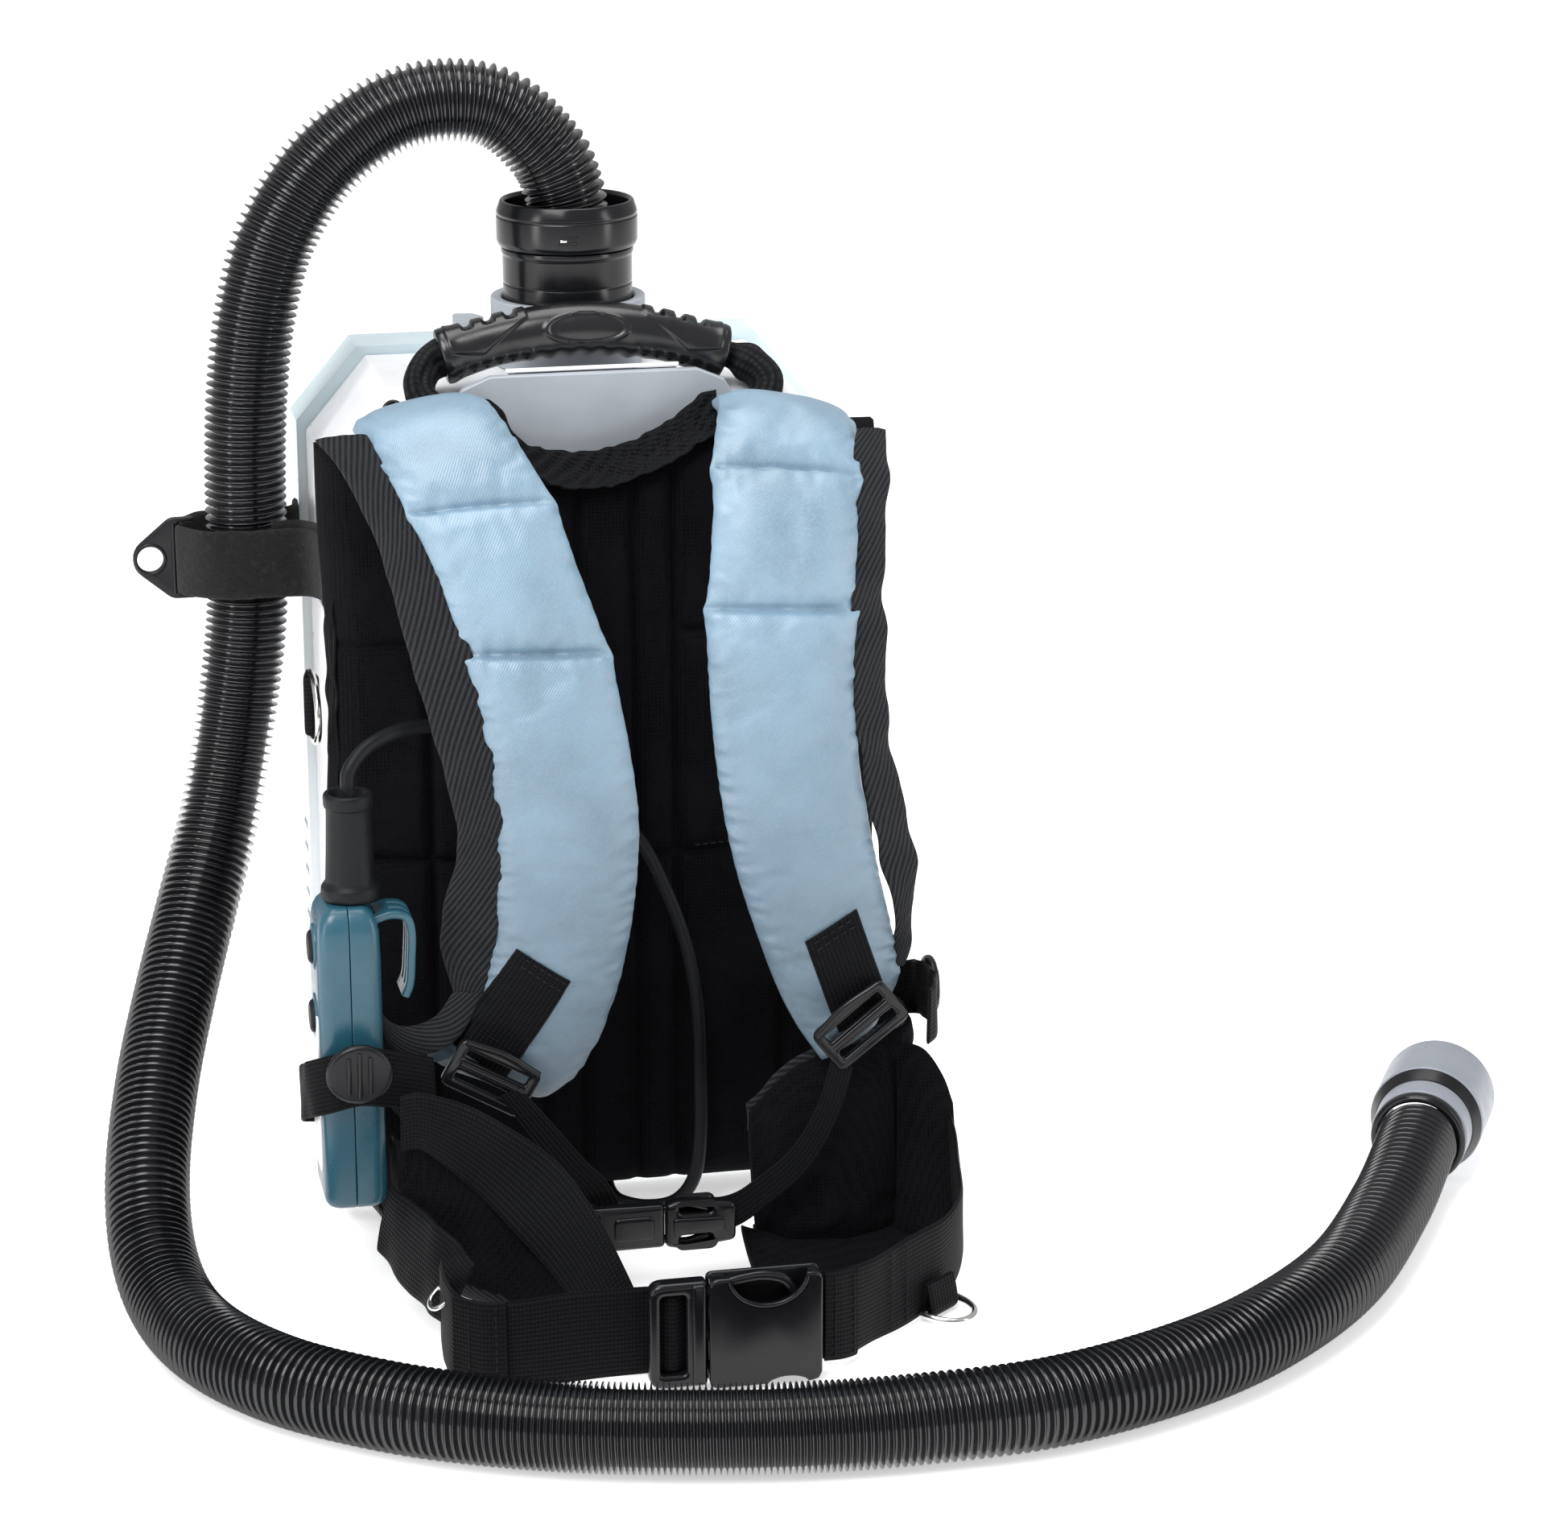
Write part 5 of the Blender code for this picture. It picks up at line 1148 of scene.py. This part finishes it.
GRIP_ROUTE = [(-62, 20, 375), (-34, 20, 382), (-2, 20, 385), (29, 20, 381), (58, 20, 372)]
GRIP_WEB_ROUTE = ([(-67, 4, 355), (-73, 8, 362), (-71, 14, 369.5)] + GRIP_ROUTE
                  + [(69, 15, 367.5), (75, 9, 361), (73, 5, 354)])
GRIP_HALF = 62
GRIP_RADIUS = 11.3


def soft_step(values, low, high):
    t = np.clip((values - low) / (high - low), 0, 1)
    return t * t * (3 - 2 * t)


def make_grip():
    """Moulded grip: oval dish, raised end panels with notches, dimples and finger waves."""
    path = resampled(smooth_route(GRIP_ROUTE, 12), 0.62)
    tangent = unit(np.gradient(path, axis=0))
    front = np.array((0.0, -1.0, 0.0))
    up = unit(np.cross(front, tangent))
    up = up * np.sign(up[:, 2:3])
    s = np.linspace(-GRIP_HALF, GRIP_HALF, len(path))[:, None]
    off = np.abs(s)
    turn = full_turn(132)[None, :]
    degrees = (np.degrees(turn) + 180) % 360 - 180       # 0 faces the wearer, 90 is the top
    around = degrees * math.pi / 180 * GRIP_RADIUS       # the same as a distance in mm
    radius = np.full((len(path), turn.size), GRIP_RADIUS)
    radius = radius + 0.9 * np.exp(-((off - 60) / 3.0) ** 2)
    radius = radius - 0.8 * np.exp(-((off - 40) / 16.0) ** 2)
    dish = np.sqrt((s / 17.5) ** 2 + ((around - 2.6) / 6.6) ** 2)
    radius = radius - 0.55 * (1 - soft_step(dish, 0.86, 0.95))
    radius = radius + 0.45 * np.exp(-((dish - 1.0) / 0.06) ** 2)
    low_edge = np.where(off > 45, 3.0 - (60 - off) * 0.35, -2.2 + (45 - off) * 0.55)
    panel = (soft_step(off, 23.5, 24.6) * (1 - soft_step(off, 58.0, 59.0))
             * soft_step(around, low_edge, low_edge + 0.9) * (1 - soft_step(around, 28.0, 29.0)))
    radius = radius + 0.9 * panel
    for centre in (30.5, 39.5, 48.5):
        notch = np.exp(-((off - centre) / 1.9) ** 4) * soft_step(around, 10.5, 12.5)
        radius = radius - 2.3 * notch * panel
    for row, start in ((-6.2, 24.0), (-10.6, 27.0)):
        for index in range(6):
            away = ((off - start - index * 6.0) / 0.9) ** 2 + ((around - row) / 0.9) ** 2
            radius = radius + 0.55 * np.exp(-away)
    wave_in = (1 - soft_step(off, 20, 32)) * np.exp(-((degrees + 90) / 42.0) ** 2)
    radius = radius + 0.8 * np.sin(s / 9.2 * 2 * math.pi) * wave_in
    shallow = 1 - 0.1 * np.maximum(0.0, -np.cos(turn))   # the side towards the casing is flatter
    rows = (path[:, None] + front * (np.cos(turn) * radius * shallow)[..., None]
            + up[:, None] * (np.sin(turn) * radius)[..., None])
    caps = [[path[end] + (rows[end] - path[end]) * share + tangent[end] * 0.6 * side
             for share in (0.62, 0.9)] for end, side in ((0, -1), (-1, 1))]
    rows = np.concatenate([np.array(caps[0]), rows, np.array(caps[1][::-1])])
    place(skin("grip_moulded", rows, sharp_angle=65), "grip_plastic", "grip")


def make_grip_webbing():
    """Webbing rolled into a soft tube where it leaves the grip, with its edge showing."""
    path = resampled(smooth_route(GRIP_WEB_ROUTE, 10), 1.0)
    length, side, up = route_frames(path)
    middle = (path[0] + path[-1]) / 2
    out = np.abs(path[:, 0] - middle[0])
    fat = 5.6 + 3.1 * soft_step(out, 58, 66)
    flat = 1.0 - 0.25 * soft_step(out, 62, 72)
    turn = full_turn(40)[None]
    fold = np.exp(-(((turn - length[:, None] / 26.0) % (2 * math.pi) - math.pi) / 0.28) ** 2)
    reach = fat[:, None] * (1 - 0.22 * fold * soft_step(out, 58, 66)[:, None])
    rows = (path[:, None] + side[:, None] * (np.cos(turn) * reach)[..., None]
            + up[:, None] * (np.sin(turn) * reach * flat[:, None])[..., None])
    rows += unit(rows - path[:, None]) * (wobble(rows, 7.0, 2.0) * 0.35)[..., None]
    place(skin("grip_webbing_rolled", rows), "grip_web", "grip_webbing")


# ---------------------------------------------------------------- moulded fittings

def make_inlet():
    """Collar, tube and flange with their steps and rounded lips."""
    x, y, z = (0, 70, 0)
    collar = [(26.5, 417.2), (26.5, 430.6), (27.6, 432.0), (28.8, 431.6), (30.3, 427.4),
              (COLLAR_RADIUS, 426.2), (30.1, 425.7), (30.1, 425.1), (COLLAR_RADIUS, 424.7),
              (COLLAR_RADIUS, 414.4), (29.6, 412.2), (24.2, 412.1), (24.2, 415.0)]
    tube = [(24.0, 336), (24.0, 411.6), (28.6, 411.6), (28.6, 409.2), (28.0, 408.4), (28.0, 397.0),
            (27.8, 396.6), (27.8, 396.0), (28.0, 395.6), (28.0, 336)]
    flange = [(28.5, 360.3), (28.5, 389.0), (29.4, 390.0), (33.5, 390.0), (33.5, 381.2), (31.9, 380.2),
              (31.9, 360.3)]
    for name, profile, rounding, sides, look in (("inlet_collar", collar, 0.7, 120, "black_gloss"),
                                                 ("inlet_tube", tube, 0.5, 120, "black_gloss"),
                                                 ("inlet_flange", flange, 0.8, 96, "grey_plastic")):
        place(lathe(name + "_turned", profile, rounding, (x, y, z), UPRIGHT, sides), look, name)
    off = -4.5
    face = y - math.sqrt(COLLAR_RADIUS ** 2 - off ** 2)
    outlines = [rectangle(-4.6, -1.7, 4.6, 1.7, 0.6), rectangle(-3.7, -0.95, 3.7, 0.95, 0.4)]
    place(plate("collar_window", outlines, 1.4, 0.3, (off, face, 418.6), (1, -0.15, 0)),
          "black_gloss", body="inlet_cuff")
    glint = rounded_outline([(-3.4, -0.8), (-0.6, -0.8), (-0.2, 0.2), (-3.2, 0.5)], 0.3, 3)
    place(plate("collar_window_glint", [glint], 0.8, 0.2, (off, face - 0.1, 418.6), (1, -0.15, 0)),
          "metal", body="inlet_cuff")


def make_belt_buckle():
    """Side-release buckle: smooth female half with two finger openings, slotted male half."""
    y = -210.0
    middle = 25.0                        # height of the buckle's middle line
    scoop = oval((29.0, 49.2), 15.5, 12.6, 25, 0.0, -180.0)
    arch = oval((37.0, 0.6), 8.5, 3.6, 17, 180.0, 0.0)
    face = ([(5.0, 5.0), (5.6, 2.6), (8.0, 1.5), (27.0, 1.5)] + arch[1:-1]
            + [(47.0, 1.5), (49.6, 2.2), (51.0, 5.0), (51.0, 45.0), (50.2, 47.6), (47.5, 48.5),
               (44.6, 48.5)] + scoop[1:-1] + [(13.4, 48.5), (8.0, 48.5), (5.6, 47.4), (5.0, 45.0)])
    parts = [plate("socket_front", [face], 2.8, 1.15, (0, y - 4.1, 0)),
             plate("socket_back", [rectangle(5, 1.5, 51, 48.5, 3.0, 5)], 2.8, 1.15, (0, y + 4.1, 0))]
    for word, sides in (("low", (5.8, 2.6, 26, 6)), ("high", (5.8, 44.5, 12.5, 47.6)),
                        ("end", (46.2, 3, 50.4, 47.4))):
        parts.append(plate("socket_" + word, [rectangle(*sides, 0.8)], 7.6, 0.6, (0, y, 0)))
    rim = np.array([(29 + 15.9 * math.cos(a), y - 5.5, 49.4 + 13.4 * math.sin(a))
                    for a in np.radians(np.linspace(-172, -8, 30))])
    parts.append(skin("socket_lip", round_rows(resampled(rim, 0.8), 0.85, 10)))
    place(joined("belt_socket_moulded", parts), "black_gloss", "belt_socket")
    outlines = [rectangle(-19, 2.5, 4.6, 47.5, [6, 2, 2, 6], 6), rectangle(-14.2, 8.2, -4.0, 42.0, 1.6, 4)]
    parts = [plate("plug_frame", outlines, 8.6, 2.2, (0, y, 0)),
             plate("plug_ridge", [rectangle(-1.8, 3.4, 3.8, 46.6, 1.2, 4)], 11.0, 1.4, (0, y, 0))]
    for sign in (-1, 1):
        spine = [(x, y, middle + sign * off) for x, off in ((3, 15), (12, 19.8), (20, 21.6), (28, 22.0),
                                                            (36, 19.6), (40.5, 13.6))]
        parts.append(skin("plug_arm", flat_bar(smooth_route(spine, 8), 2.0, 2.5)))
    tongue = np.array([(x, y, middle) for x in (3, 20, 38)], float)
    parts.append(skin("plug_tongue", flat_bar(tongue, 4.0, 2.4)))
    place(joined("belt_plug_moulded", parts), "black_gloss", "belt_plug")
    bar = np.array([(-9.2, y + 1.5, z) for z in (7, 25, 43)], float)
    place(skin("plug_bar", round_rows(bar, 1.5, 16)), "black_gloss", body="belt_plug")
    loop = [(-2.5, 3.6), (-6, 0.4), (-9.2, -1.0), (-12.2, 0.4), (-16, 3.8)]
    even_tape("belt_web_loop", [(x, y + off, middle) for x, off in loop], 33, 1.4, body="belt_plug")


def flat_bar(path, half_u, half_v):
    """Rings of a rounded bar, half_u across in Z and half_v deep in Y."""
    tangent = unit(np.gradient(path, axis=0))
    deep = np.array((0.0, 1.0, 0.0))
    wide = unit(np.cross(tangent, deep))
    turn = full_turn(20)[None, :, None]
    return (path[:, None] + wide[:, None] * squared(np.cos(turn), 0.55) * half_u
            + deep * squared(np.sin(turn), 0.55) * half_v)


def make_chest_buckle():
    """Small side-release buckle of the chest strap."""
    y, z = -112.0, 30.0
    centre = (0, y, z)
    face = rounded_outline([(6, -9.4), (13, -11), (36, -8.6), (36, 8.6), (13, 11), (6, 9.4)],
                           [2, 6, 3, 3, 6, 2], 5)
    opening = rectangle(12, -9.0, 26, -5.0, 1.8, 4)
    upper = [(u, -v) for u, v in opening][::-1]
    panel = rounded_outline([(9, -3.4), (31, -2.8), (31, 2.8), (9, 3.4)], 1.6, 4)
    parts = [plate("chest_socket_face", [face, opening, upper], 7.6, 2.2, centre),
             plate("chest_socket_panel", [panel], 2.4, 0.9, (0, y - 3.5, z))]
    place(joined("chest_socket_moulded", parts), "black_gloss", "chest_socket")
    rim = rounded_outline([(-34, -10), (5.6, -9.6), (5.6, 9.6), (-34, 10)], [4, 2, 2, 4], 5)
    window = rectangle(-29.4, -8, -23.0, 8, 1.4, 4)
    parts = [plate("chest_plug_frame", [rim, window], 6.6, 2.0, centre),
             plate("chest_plug_pad", [rectangle(-16, -5.2, 1, 5.2, 2.4, 4)], 2.6, 1.1, (0, y - 3.1, z))]
    for sign in (-1, 1):
        spine = [(x, y, z + sign * off) for x, off in ((4, 6.4), (15, 8.6), (24, 6.2))]
        parts.append(skin("chest_arm", flat_bar(smooth_route(spine, 8), 1.5, 1.9)))
    place(joined("chest_plug_moulded", parts), "black_gloss", "chest_plug")


def make_sliders():
    """Ladder locks with rolled bars, and the two round-ended side adjusters."""
    for word, centre, tilt in (("left", (-65, -106, 99), 30), ("right", (91, -106, 110), -39)):
        angle = math.radians(tilt)
        across = np.array((math.cos(angle), 0, -math.sin(angle)))
        up = np.array((math.sin(angle), 0, math.cos(angle)))
        rim = rounded_outline([(-19, -9.4), (-16.5, -11), (16.5, -11), (19, -9.4), (19, 8.5), (16.5, 11),
                               (-16.5, 11), (-19, 8.5)], 2.0, 3)
        holes = [rectangle(-14.4, low, 14.4, low + 3.9, 0.9) for low in (-6.6, 3.0)]
        parts = [plate("lock_frame", [rim] + holes, 4.2, 1.3, centre, across, up)]
        for part, half, count, base, rise, depth, radius in (("lock_lip", 17, 21, 10.6, 0.9, -2.0, 1.7),
                                                             ("lock_bar", 15, 9, 0.4, 0.0, -1.6, 1.9)):
            line = np.array([np.array(centre) + across * u + up * (base + rise * math.cos(u / 6.0))
                             + np.array((0, depth, 0)) for u in np.linspace(-half, half, count)])
            parts.append(skin(part, round_rows(line, radius, 14)))
        name = "ladder_lock_" + word
        place(joined(name + "_moulded", parts), "black_gloss", name)
    for word, centre, face in (("left", (-121, -122.5, 111), 0), ("right", (132.6, -58, 108), 88)):
        angle = math.radians(face)
        across = np.array((math.cos(angle), math.sin(angle), 0))
        out = np.cross(across, (0, 0, 1.0))
        parts = [plate("adjuster_disc", [oval((0, 0), 13.6, 12.6, 56)], 4.4, 2.0, centre, across)]
        for shift in (-4.4, 0.0, 4.4):
            reach = 9.6 - abs(shift) * 0.45
            line = np.array([np.array(centre) + across * shift + np.array((0, 0, v))
                             + out * (2.0 + 0.7 * (1 - (v / reach) ** 2))
                             for v in np.linspace(-reach, reach, 13)])
            parts.append(skin("adjuster_rib", round_rows(line, 0.95, 10)))
        name = "side_adjuster_" + word
        place(joined(name + "_moulded", parts), "black_plastic", name)


def make_hose_holder():
    """Fuzzy band round the hose, the layer behind it, and the ring it threads through."""
    z = 282.0
    half = np.array((0, 0, 15.0))
    route = np.array([(-113.4, 26, z), (-113.6, 38, z), (-121, 48.9, z), (-142.5, 48.4, z),
                      (-160, 51.9, z), (-171, 62, z), (-171.6, 68, z), (-170, 80, z), (-160, 89.1, z),
                      (-142.5, 91.1, z), (-126, 90.1, z), (-118.6, 96.1, z), (-117.6, 106.1, z)])
    tape("hose_band_fuzzy", route - half, route + half, 3.0, "hook_loop", nodes="hose_band", fray=0.5,
         ruffle=0.3)
    under = np.array([(-113.2, 30, z), (-113.4, 41, z), (-121, 51.2, z), (-133, 51.0, z)])
    tape("hose_band_layer", under - half, under + half + np.array((0, 0, 3.2)), 1.6, "hook_loop")
    outline = rounded_outline([(14.5, -18.0), (14.5, -14.6), (11.2, -14.6), (11.2, -15.8), (8.4, -15.8),
                               (8.4, 15.8), (14.5, 15.8), (14.5, 18.0), (4.4, 18.0), (-11.8, 4.4),
                               (-11.8, -4.4), (4.4, -18.0)],
                              [1, 1, 0.4, 0.4, 0.4, 0.4, 0.8, 1, 2.4, 6, 6, 2.4], 4)
    x, eye_off = -180, -4.4
    eye = oval((eye_off, 0), 5.6, 5.6, 40)
    bead = np.array([(x + eye_off + 6.4 * math.cos(a), 66.6, z + 6.4 * math.sin(a))
                     for a in np.linspace(0, 2 * math.pi, 41)])
    spine = np.array([(-174.2, 66.6, z + v) for v in np.linspace(-15.5, 15.5, 9)])
    parts = [plate("ring_plate", [outline, eye], 3.0, 0.9, (x, 68, z)),
             skin("ring_bead", round_rows(bead, 0.8, 10), caps=False),
             skin("ring_spine", round_rows(spine, 0.9, 10))]
    place(joined("band_ring_moulded", parts), "black_plastic", "band_ring")


# ---------------------------------------------------------------- casing

def make_casing():
    """CAD casing pieces with rounded edges, the trim that the plain shells lack, and a black strip as
    painted shadow in the gap at the neck.
    """
    softened("front_shell", 1.6)
    softened("rear_shell", 1.3, "shell_rear")
    for name, width in (("dust_door", 1.2), ("door_latch", 0.5),
                        ("harness_plate", 0.8), ("lock_lever", 0.5), ("battery_dock", 0.8),
                        ("battery_left", 0.8), ("battery_button_left", 0.5),
                        ("battery_right", 0.8), ("battery_button_right", 0.5)):
        softened(name, width)
    for word, x in (("left", -112.2), ("right", 112.2)):
        for number, (low, high, near, far) in enumerate(((206, 262, 30, 84), (266, 318, 26, 84))):
            corners = [(near, low + 6), (near + 14, low), (far, low), (far, high - 8),
                       (far - 12, high), (near, high)]
            place(plate(f"side_panel_{word}_{number}", [rounded_outline(corners, 4, 4)], 1.2, 0.5,
                        (x, 0, 0), (0, 1, 0)), "shell_white")
    head = [(0.0, 1.0), (1.6, 1.6), (3.2, 1.5), (4.0, 0.6), (4.2, -1.0), (0, -1.0)]
    screws = [lathe("screw", head, None, (x, 141.2, z), (0, 1, 0), 32, closed=False)
              for x, z in ((-98, 318), (98, 318), (-98, 112), (98, 112), (-98, 14), (98, 14), (0, 14))]
    place(joined("rear_screws", screws), "metal")
    ribs = []
    for index in range(7):
        line = np.array([(x, 152.3, 176.0 + index * 9.0) for x in np.linspace(-58, 58, 9)])
        ribs.append(skin("door_rib", round_rows(line, 1.3, 12)))
    place(joined("door_ribs", ribs), "shell_blue", body="dust_door")
    profile = [(0.0, 1.2), (2.2, 0.9), (3.2, 1.8), (4.4, 1.6), (4.8, 0.2), (4.8, -2.0), (0, -2.0)]
    place(lathe("front_plug", profile, 0.3, (-84, 12.6, 354.6), (0, -0.8, 0.6), 40, closed=False),
          "black_plastic")
    place(plate("neck_strip", [rectangle(-37, -0.9, 37, 0.9, 0.5)], 1.0, 0.4, (0, 7.9, 370.4)),
          "shell_white")
    # A black strip as painted shadow in the gap at the neck strip.
    place(plate("neck_gap_shadow", [rectangle(-36, -0.7, 36, 0.7, 0.4)], 0.8, 0.3, (0, 7.6, 368.6)),
          "black_plastic")


def make_dust_bag():
    """Paper bag: a soft box with gusset folds down its sides."""
    low, high = np.array((-83, 21, 217.0)), np.array((83, 127, 330.5))
    middle, reach = (low + high) / 2, (high - low) / 2
    turn = full_turn(120)
    u, v = squared(np.cos(turn), 0.28), squared(np.sin(turn), 0.28)
    rows = []
    for level in np.linspace(-1, 1, 60):
        draw = (1 - abs(level) ** 5) ** 0.2
        gusset = 5.0 * np.exp(-(v / 0.12) ** 2) * (1 - level ** 4)
        rows.append(np.stack([middle[0] + u * (reach[0] * draw - gusset), middle[1] + v * reach[1] * draw,
                              np.full(turn.size, middle[2] + level * reach[2])], 1))
    rows = np.array(rows)
    rows[..., 2] += wobble(rows, 22.0, 5.0) * 0.8
    rows[..., 0] += wobble(rows, 16.0, 6.0) * 0.9 - np.sign(rows[..., 0]) * 0.8
    place(skin("dust_bag_folded", rows, sharp_angle=35), "bag_paper", "dust_bag")


# ---------------------------------------------------------------- switch unit and cuffs

def case_rows(x_outer, x_split):
    """Rings of one half of the switch case: rounded outside, flat where the halves meet."""
    low, high = 46.0, 176.0
    sign = 1.0 if x_split > x_outer else -1.0
    rows = []
    for z, inset in ((low, 5.0), (low + 0.5, 3.2), (low + 1.6, 1.6), (low + 3.4, 0.5), (low + 6.0, 0.0),
                     (low + 40, 0.0), (high - 60, 0.0), (high - 22, 0.0), (high - 10, 0.4),
                     (high - 6, 1.3), (high - 3, 2.8), (high - 1, 4.8), (high - 0.2, 6.6), (high, 8.0)):
        near = x_outer + sign * inset
        y_low, y_high = -110.0 + inset, -72.0 - inset
        corners = [(x_split, y_low), (near, y_low), (near, y_high), (x_split, y_high)]
        rows.append([(x, y, z) for x, y in rounded_outline(corners, [0.5, 7.5, 7.5, 0.5], 8)])
    rows = np.array(rows)
    return rows if sign > 0 else rows[:, ::-1]


def clip_bar(path, y, half_wide):
    """Rings of a flat moulded bar that keeps its width along Y."""
    tangent = unit(np.gradient(path, axis=0))
    wide = np.array((0.0, 1.0, 0.0))
    thick = unit(np.cross(tangent, wide))
    turn = full_turn(24)[None, :, None]
    line = path.copy()
    line[:, 1] = y
    return (line[:, None] + wide * squared(np.cos(turn), 0.35) * half_wide
            + thick[:, None] * squared(np.sin(turn), 0.6) * 1.7)


def make_switch_unit():
    """Clamshell switch case with its clip, buttons and the cable's rubber boot."""
    y = -91.0
    bezel = [(7.3, -135.9), (9.4, -135.6), (9.8, -134.2), (7.3, -134.2)]
    parts = [skin("case_outer", case_rows(-135.0, -122.15), sharp_angle=30)]
    parts += [lathe("bezel", bezel, 0.4, (0, y, z), (1, 0, 0), 48) for z in BUTTON_HEIGHTS]
    place(joined("switch_case_outer_moulded", parts), "teal_plastic", "switch_case_outer")
    label = rectangle(-12.5, -43, 12.5, 25, 4.0, 4)
    place(plate("case_label", [label], 0.9, 0.3, (-135.2, y, 104.0), (0, -1, 0)), "shell_white")
    spine = smooth_route([(-111, y, 168), (-104, y, 170), (-97.5, y, 168.5), (-95.4, y, 162),
                          (-95.8, y, 150), (-96.6, y, 140), (-98.6, y, 134.5)], 8)
    parts = [skin("case_inner", case_rows(-109.0, -121.85), sharp_angle=30)]
    parts += [skin("clip_arm", clip_bar(spine, y + shift, 2.6)) for shift in (-6.6, 0.0, 6.6)]
    parts += [skin("clip_bridge", clip_bar(end, y, 9.0)) for end in (spine[2:9], spine[-7:])]
    place(joined("switch_case_inner_moulded", parts), "teal_plastic", "switch_case_inner")
    cap = [(0, 137.2), (5.6, 137.4), (6.9, 136.4), (6.9, 134.2), (0, 134.2)]
    for name, z in zip(("power_button", "mode_button"), BUTTON_HEIGHTS):
        place(lathe(name + "_cap", cap, 0.6, (0, y, z), (-1, 0, 0), 48, closed=False), "rubber", name)
    boot = [(3.4, 176.4), (11.8, 176.4), (12.2, 178.0), (12.0, 181.4), (11.0, 182.6), (10.2, 184.0),
            (9.6, 196.0), (9.1, 212.0), (9.2, 214.6), (10.0, 215.4), (10.2, 219.6), (9.6, 221.0),
            (7.4, 221.0), (4.2, 216.0), (3.4, 214.0)]
    place(lathe("switch_boot_moulded", boot, 0.7, (-119, y, 0), UPRIGHT, 64), "rubber", "switch_boot")


BUTTON_HEIGHTS = (156.0, 126.0)
CUFF_START = (351.5, -75.5, 24.5)
CUFF_END = (384.0, -18.0, 26.5)


def make_cuffs():
    """Black ring, pale band, a cone in black plastic as painted shade on the step, and flared pale cuff on
    the hose's far end.
    """
    start, end = np.array(CUFF_START), np.array(CUFF_END)
    axis = end - start
    reach = float(np.linalg.norm(axis)) - 9.0
    ring = [(18.0, -1.0), (19.8, -1.0), (21.0, 0.2), (21.3, 2.4), (21.0, 4.4), (20.4, 5.2), (18.0, 5.2)]
    place(lathe("hose_end_ring_turned", ring, 0.6, start, axis, 96), "black_gloss", "hose_end_ring")
    band = [(17.0, 5.0), (20.6, 5.0), (21.2, 5.8), (21.6, 16.6), (21.2, 17.4), (17.0, 17.4)]
    outer = [(23.0, 22.6), (25.0, 22.8), (25.4, 23.8), (25.2, 30.0), (25.3, 42.0), (25.4, reach - 1.2),
             (24.9, reach), (23.4, reach), (22.9, reach - 1.2), (22.0, 26.0)]
    turned = [lathe("cuff_band", band, 0.5, start, axis, 96),
              lathe("cuff_outer", outer, 0.6, start, axis, 96)]
    place(joined("hose_end_cuff_turned", turned), "cuff_grey", "hose_end_cuff")
    # The cone is made black as painted shade on the step between band and cuff.
    cone = [(19.6, 17.0), (21.9, 17.2), (22.3, 18.0), (24.9, 23.0), (24.6, 24.0), (19.6, 24.0)]
    place(lathe("cuff_shade_cone", cone, 0.5, start, axis, 96), "black_plastic")


# ---------------------------------------------------------------- rings and tabs

def ring_tab(name, bar_low, bar_high, out, into, inset=1.0):
    """Ridged webbing folded over a D-ring's bar and sewn down behind it."""
    low, high = np.array(bar_low, float), np.array(bar_high, float)
    along = unit(high - low) * inset
    low, high = low + along, high - along
    out, into = unit(np.array(out, float)), unit(np.array(into, float))
    route = [into * 12 + out * 0.6, into * 5 + out * 2.2, out * 2.9, -into * 2.3 + out * 1.2,
             -into * 2.4 - out * 1.0, -out * 2.6, into * 5 - out * 1.6, into * 12 - out * 0.5]
    tape(name, [low + step for step in route], [high + step for step in route], 1.3, "webbing", 6)


def wire_ring(name, bar_low, bar_high, bulge, radius=1.5, nodes=()):
    """A welded D of round wire."""
    low, high, out = (np.array(v, float) for v in (bar_low, bar_high, bulge))
    half, middle = (high - low) / 2, (low + high) / 2
    angle = np.linspace(0, math.pi, 41)
    bow = middle + half * np.cos(angle)[:, None] + out * (np.sin(angle) ** 0.8)[:, None]
    bar = low + (high - low) * np.linspace(0, 1, 14)[:, None][1:-1]
    path = np.concatenate([bow, bar, bow[:1]])
    place(skin(name, round_rows(path, radius, 16), caps=False), "metal", nodes)


SIDE_BAR = (-122.2, 10, 215), (-122.2, 10, 243)
BELT_BAR = (104, -166.5, 3.6), (122, -151.5, 3.6)


def make_rings():
    wire_ring("side_ring_wire", *SIDE_BAR, (0, -24, 0), nodes="side_ring")
    wire_ring("belt_ring_wire", *BELT_BAR, (10, -12, -1.5), nodes="belt_ring")
    wire_ring("belt_ring_small", (-95.5, -164, 33), (-93.5, -177, 33), (-6, -1, -5), 1.0)
    ring_tab("side_ring_tab", *SIDE_BAR, (-1, 0, 0), (0, 1, 0))
    ring_tab("belt_ring_tab", *BELT_BAR, (0.6, -0.8, 0), (0, 0, 1), inset=2.4)


def main():
    for make in (make_camera, make_studio, dress_cad_nodes, make_hose, make_cable, make_straps, make_pad,
                 make_hip_pads, make_webbings, make_grip, make_grip_webbing, make_inlet,
                 make_belt_buckle, make_chest_buckle, make_sliders, make_hose_holder, make_casing,
                 make_dust_bag, make_switch_unit, make_cuffs, make_rings):
        make()


main()
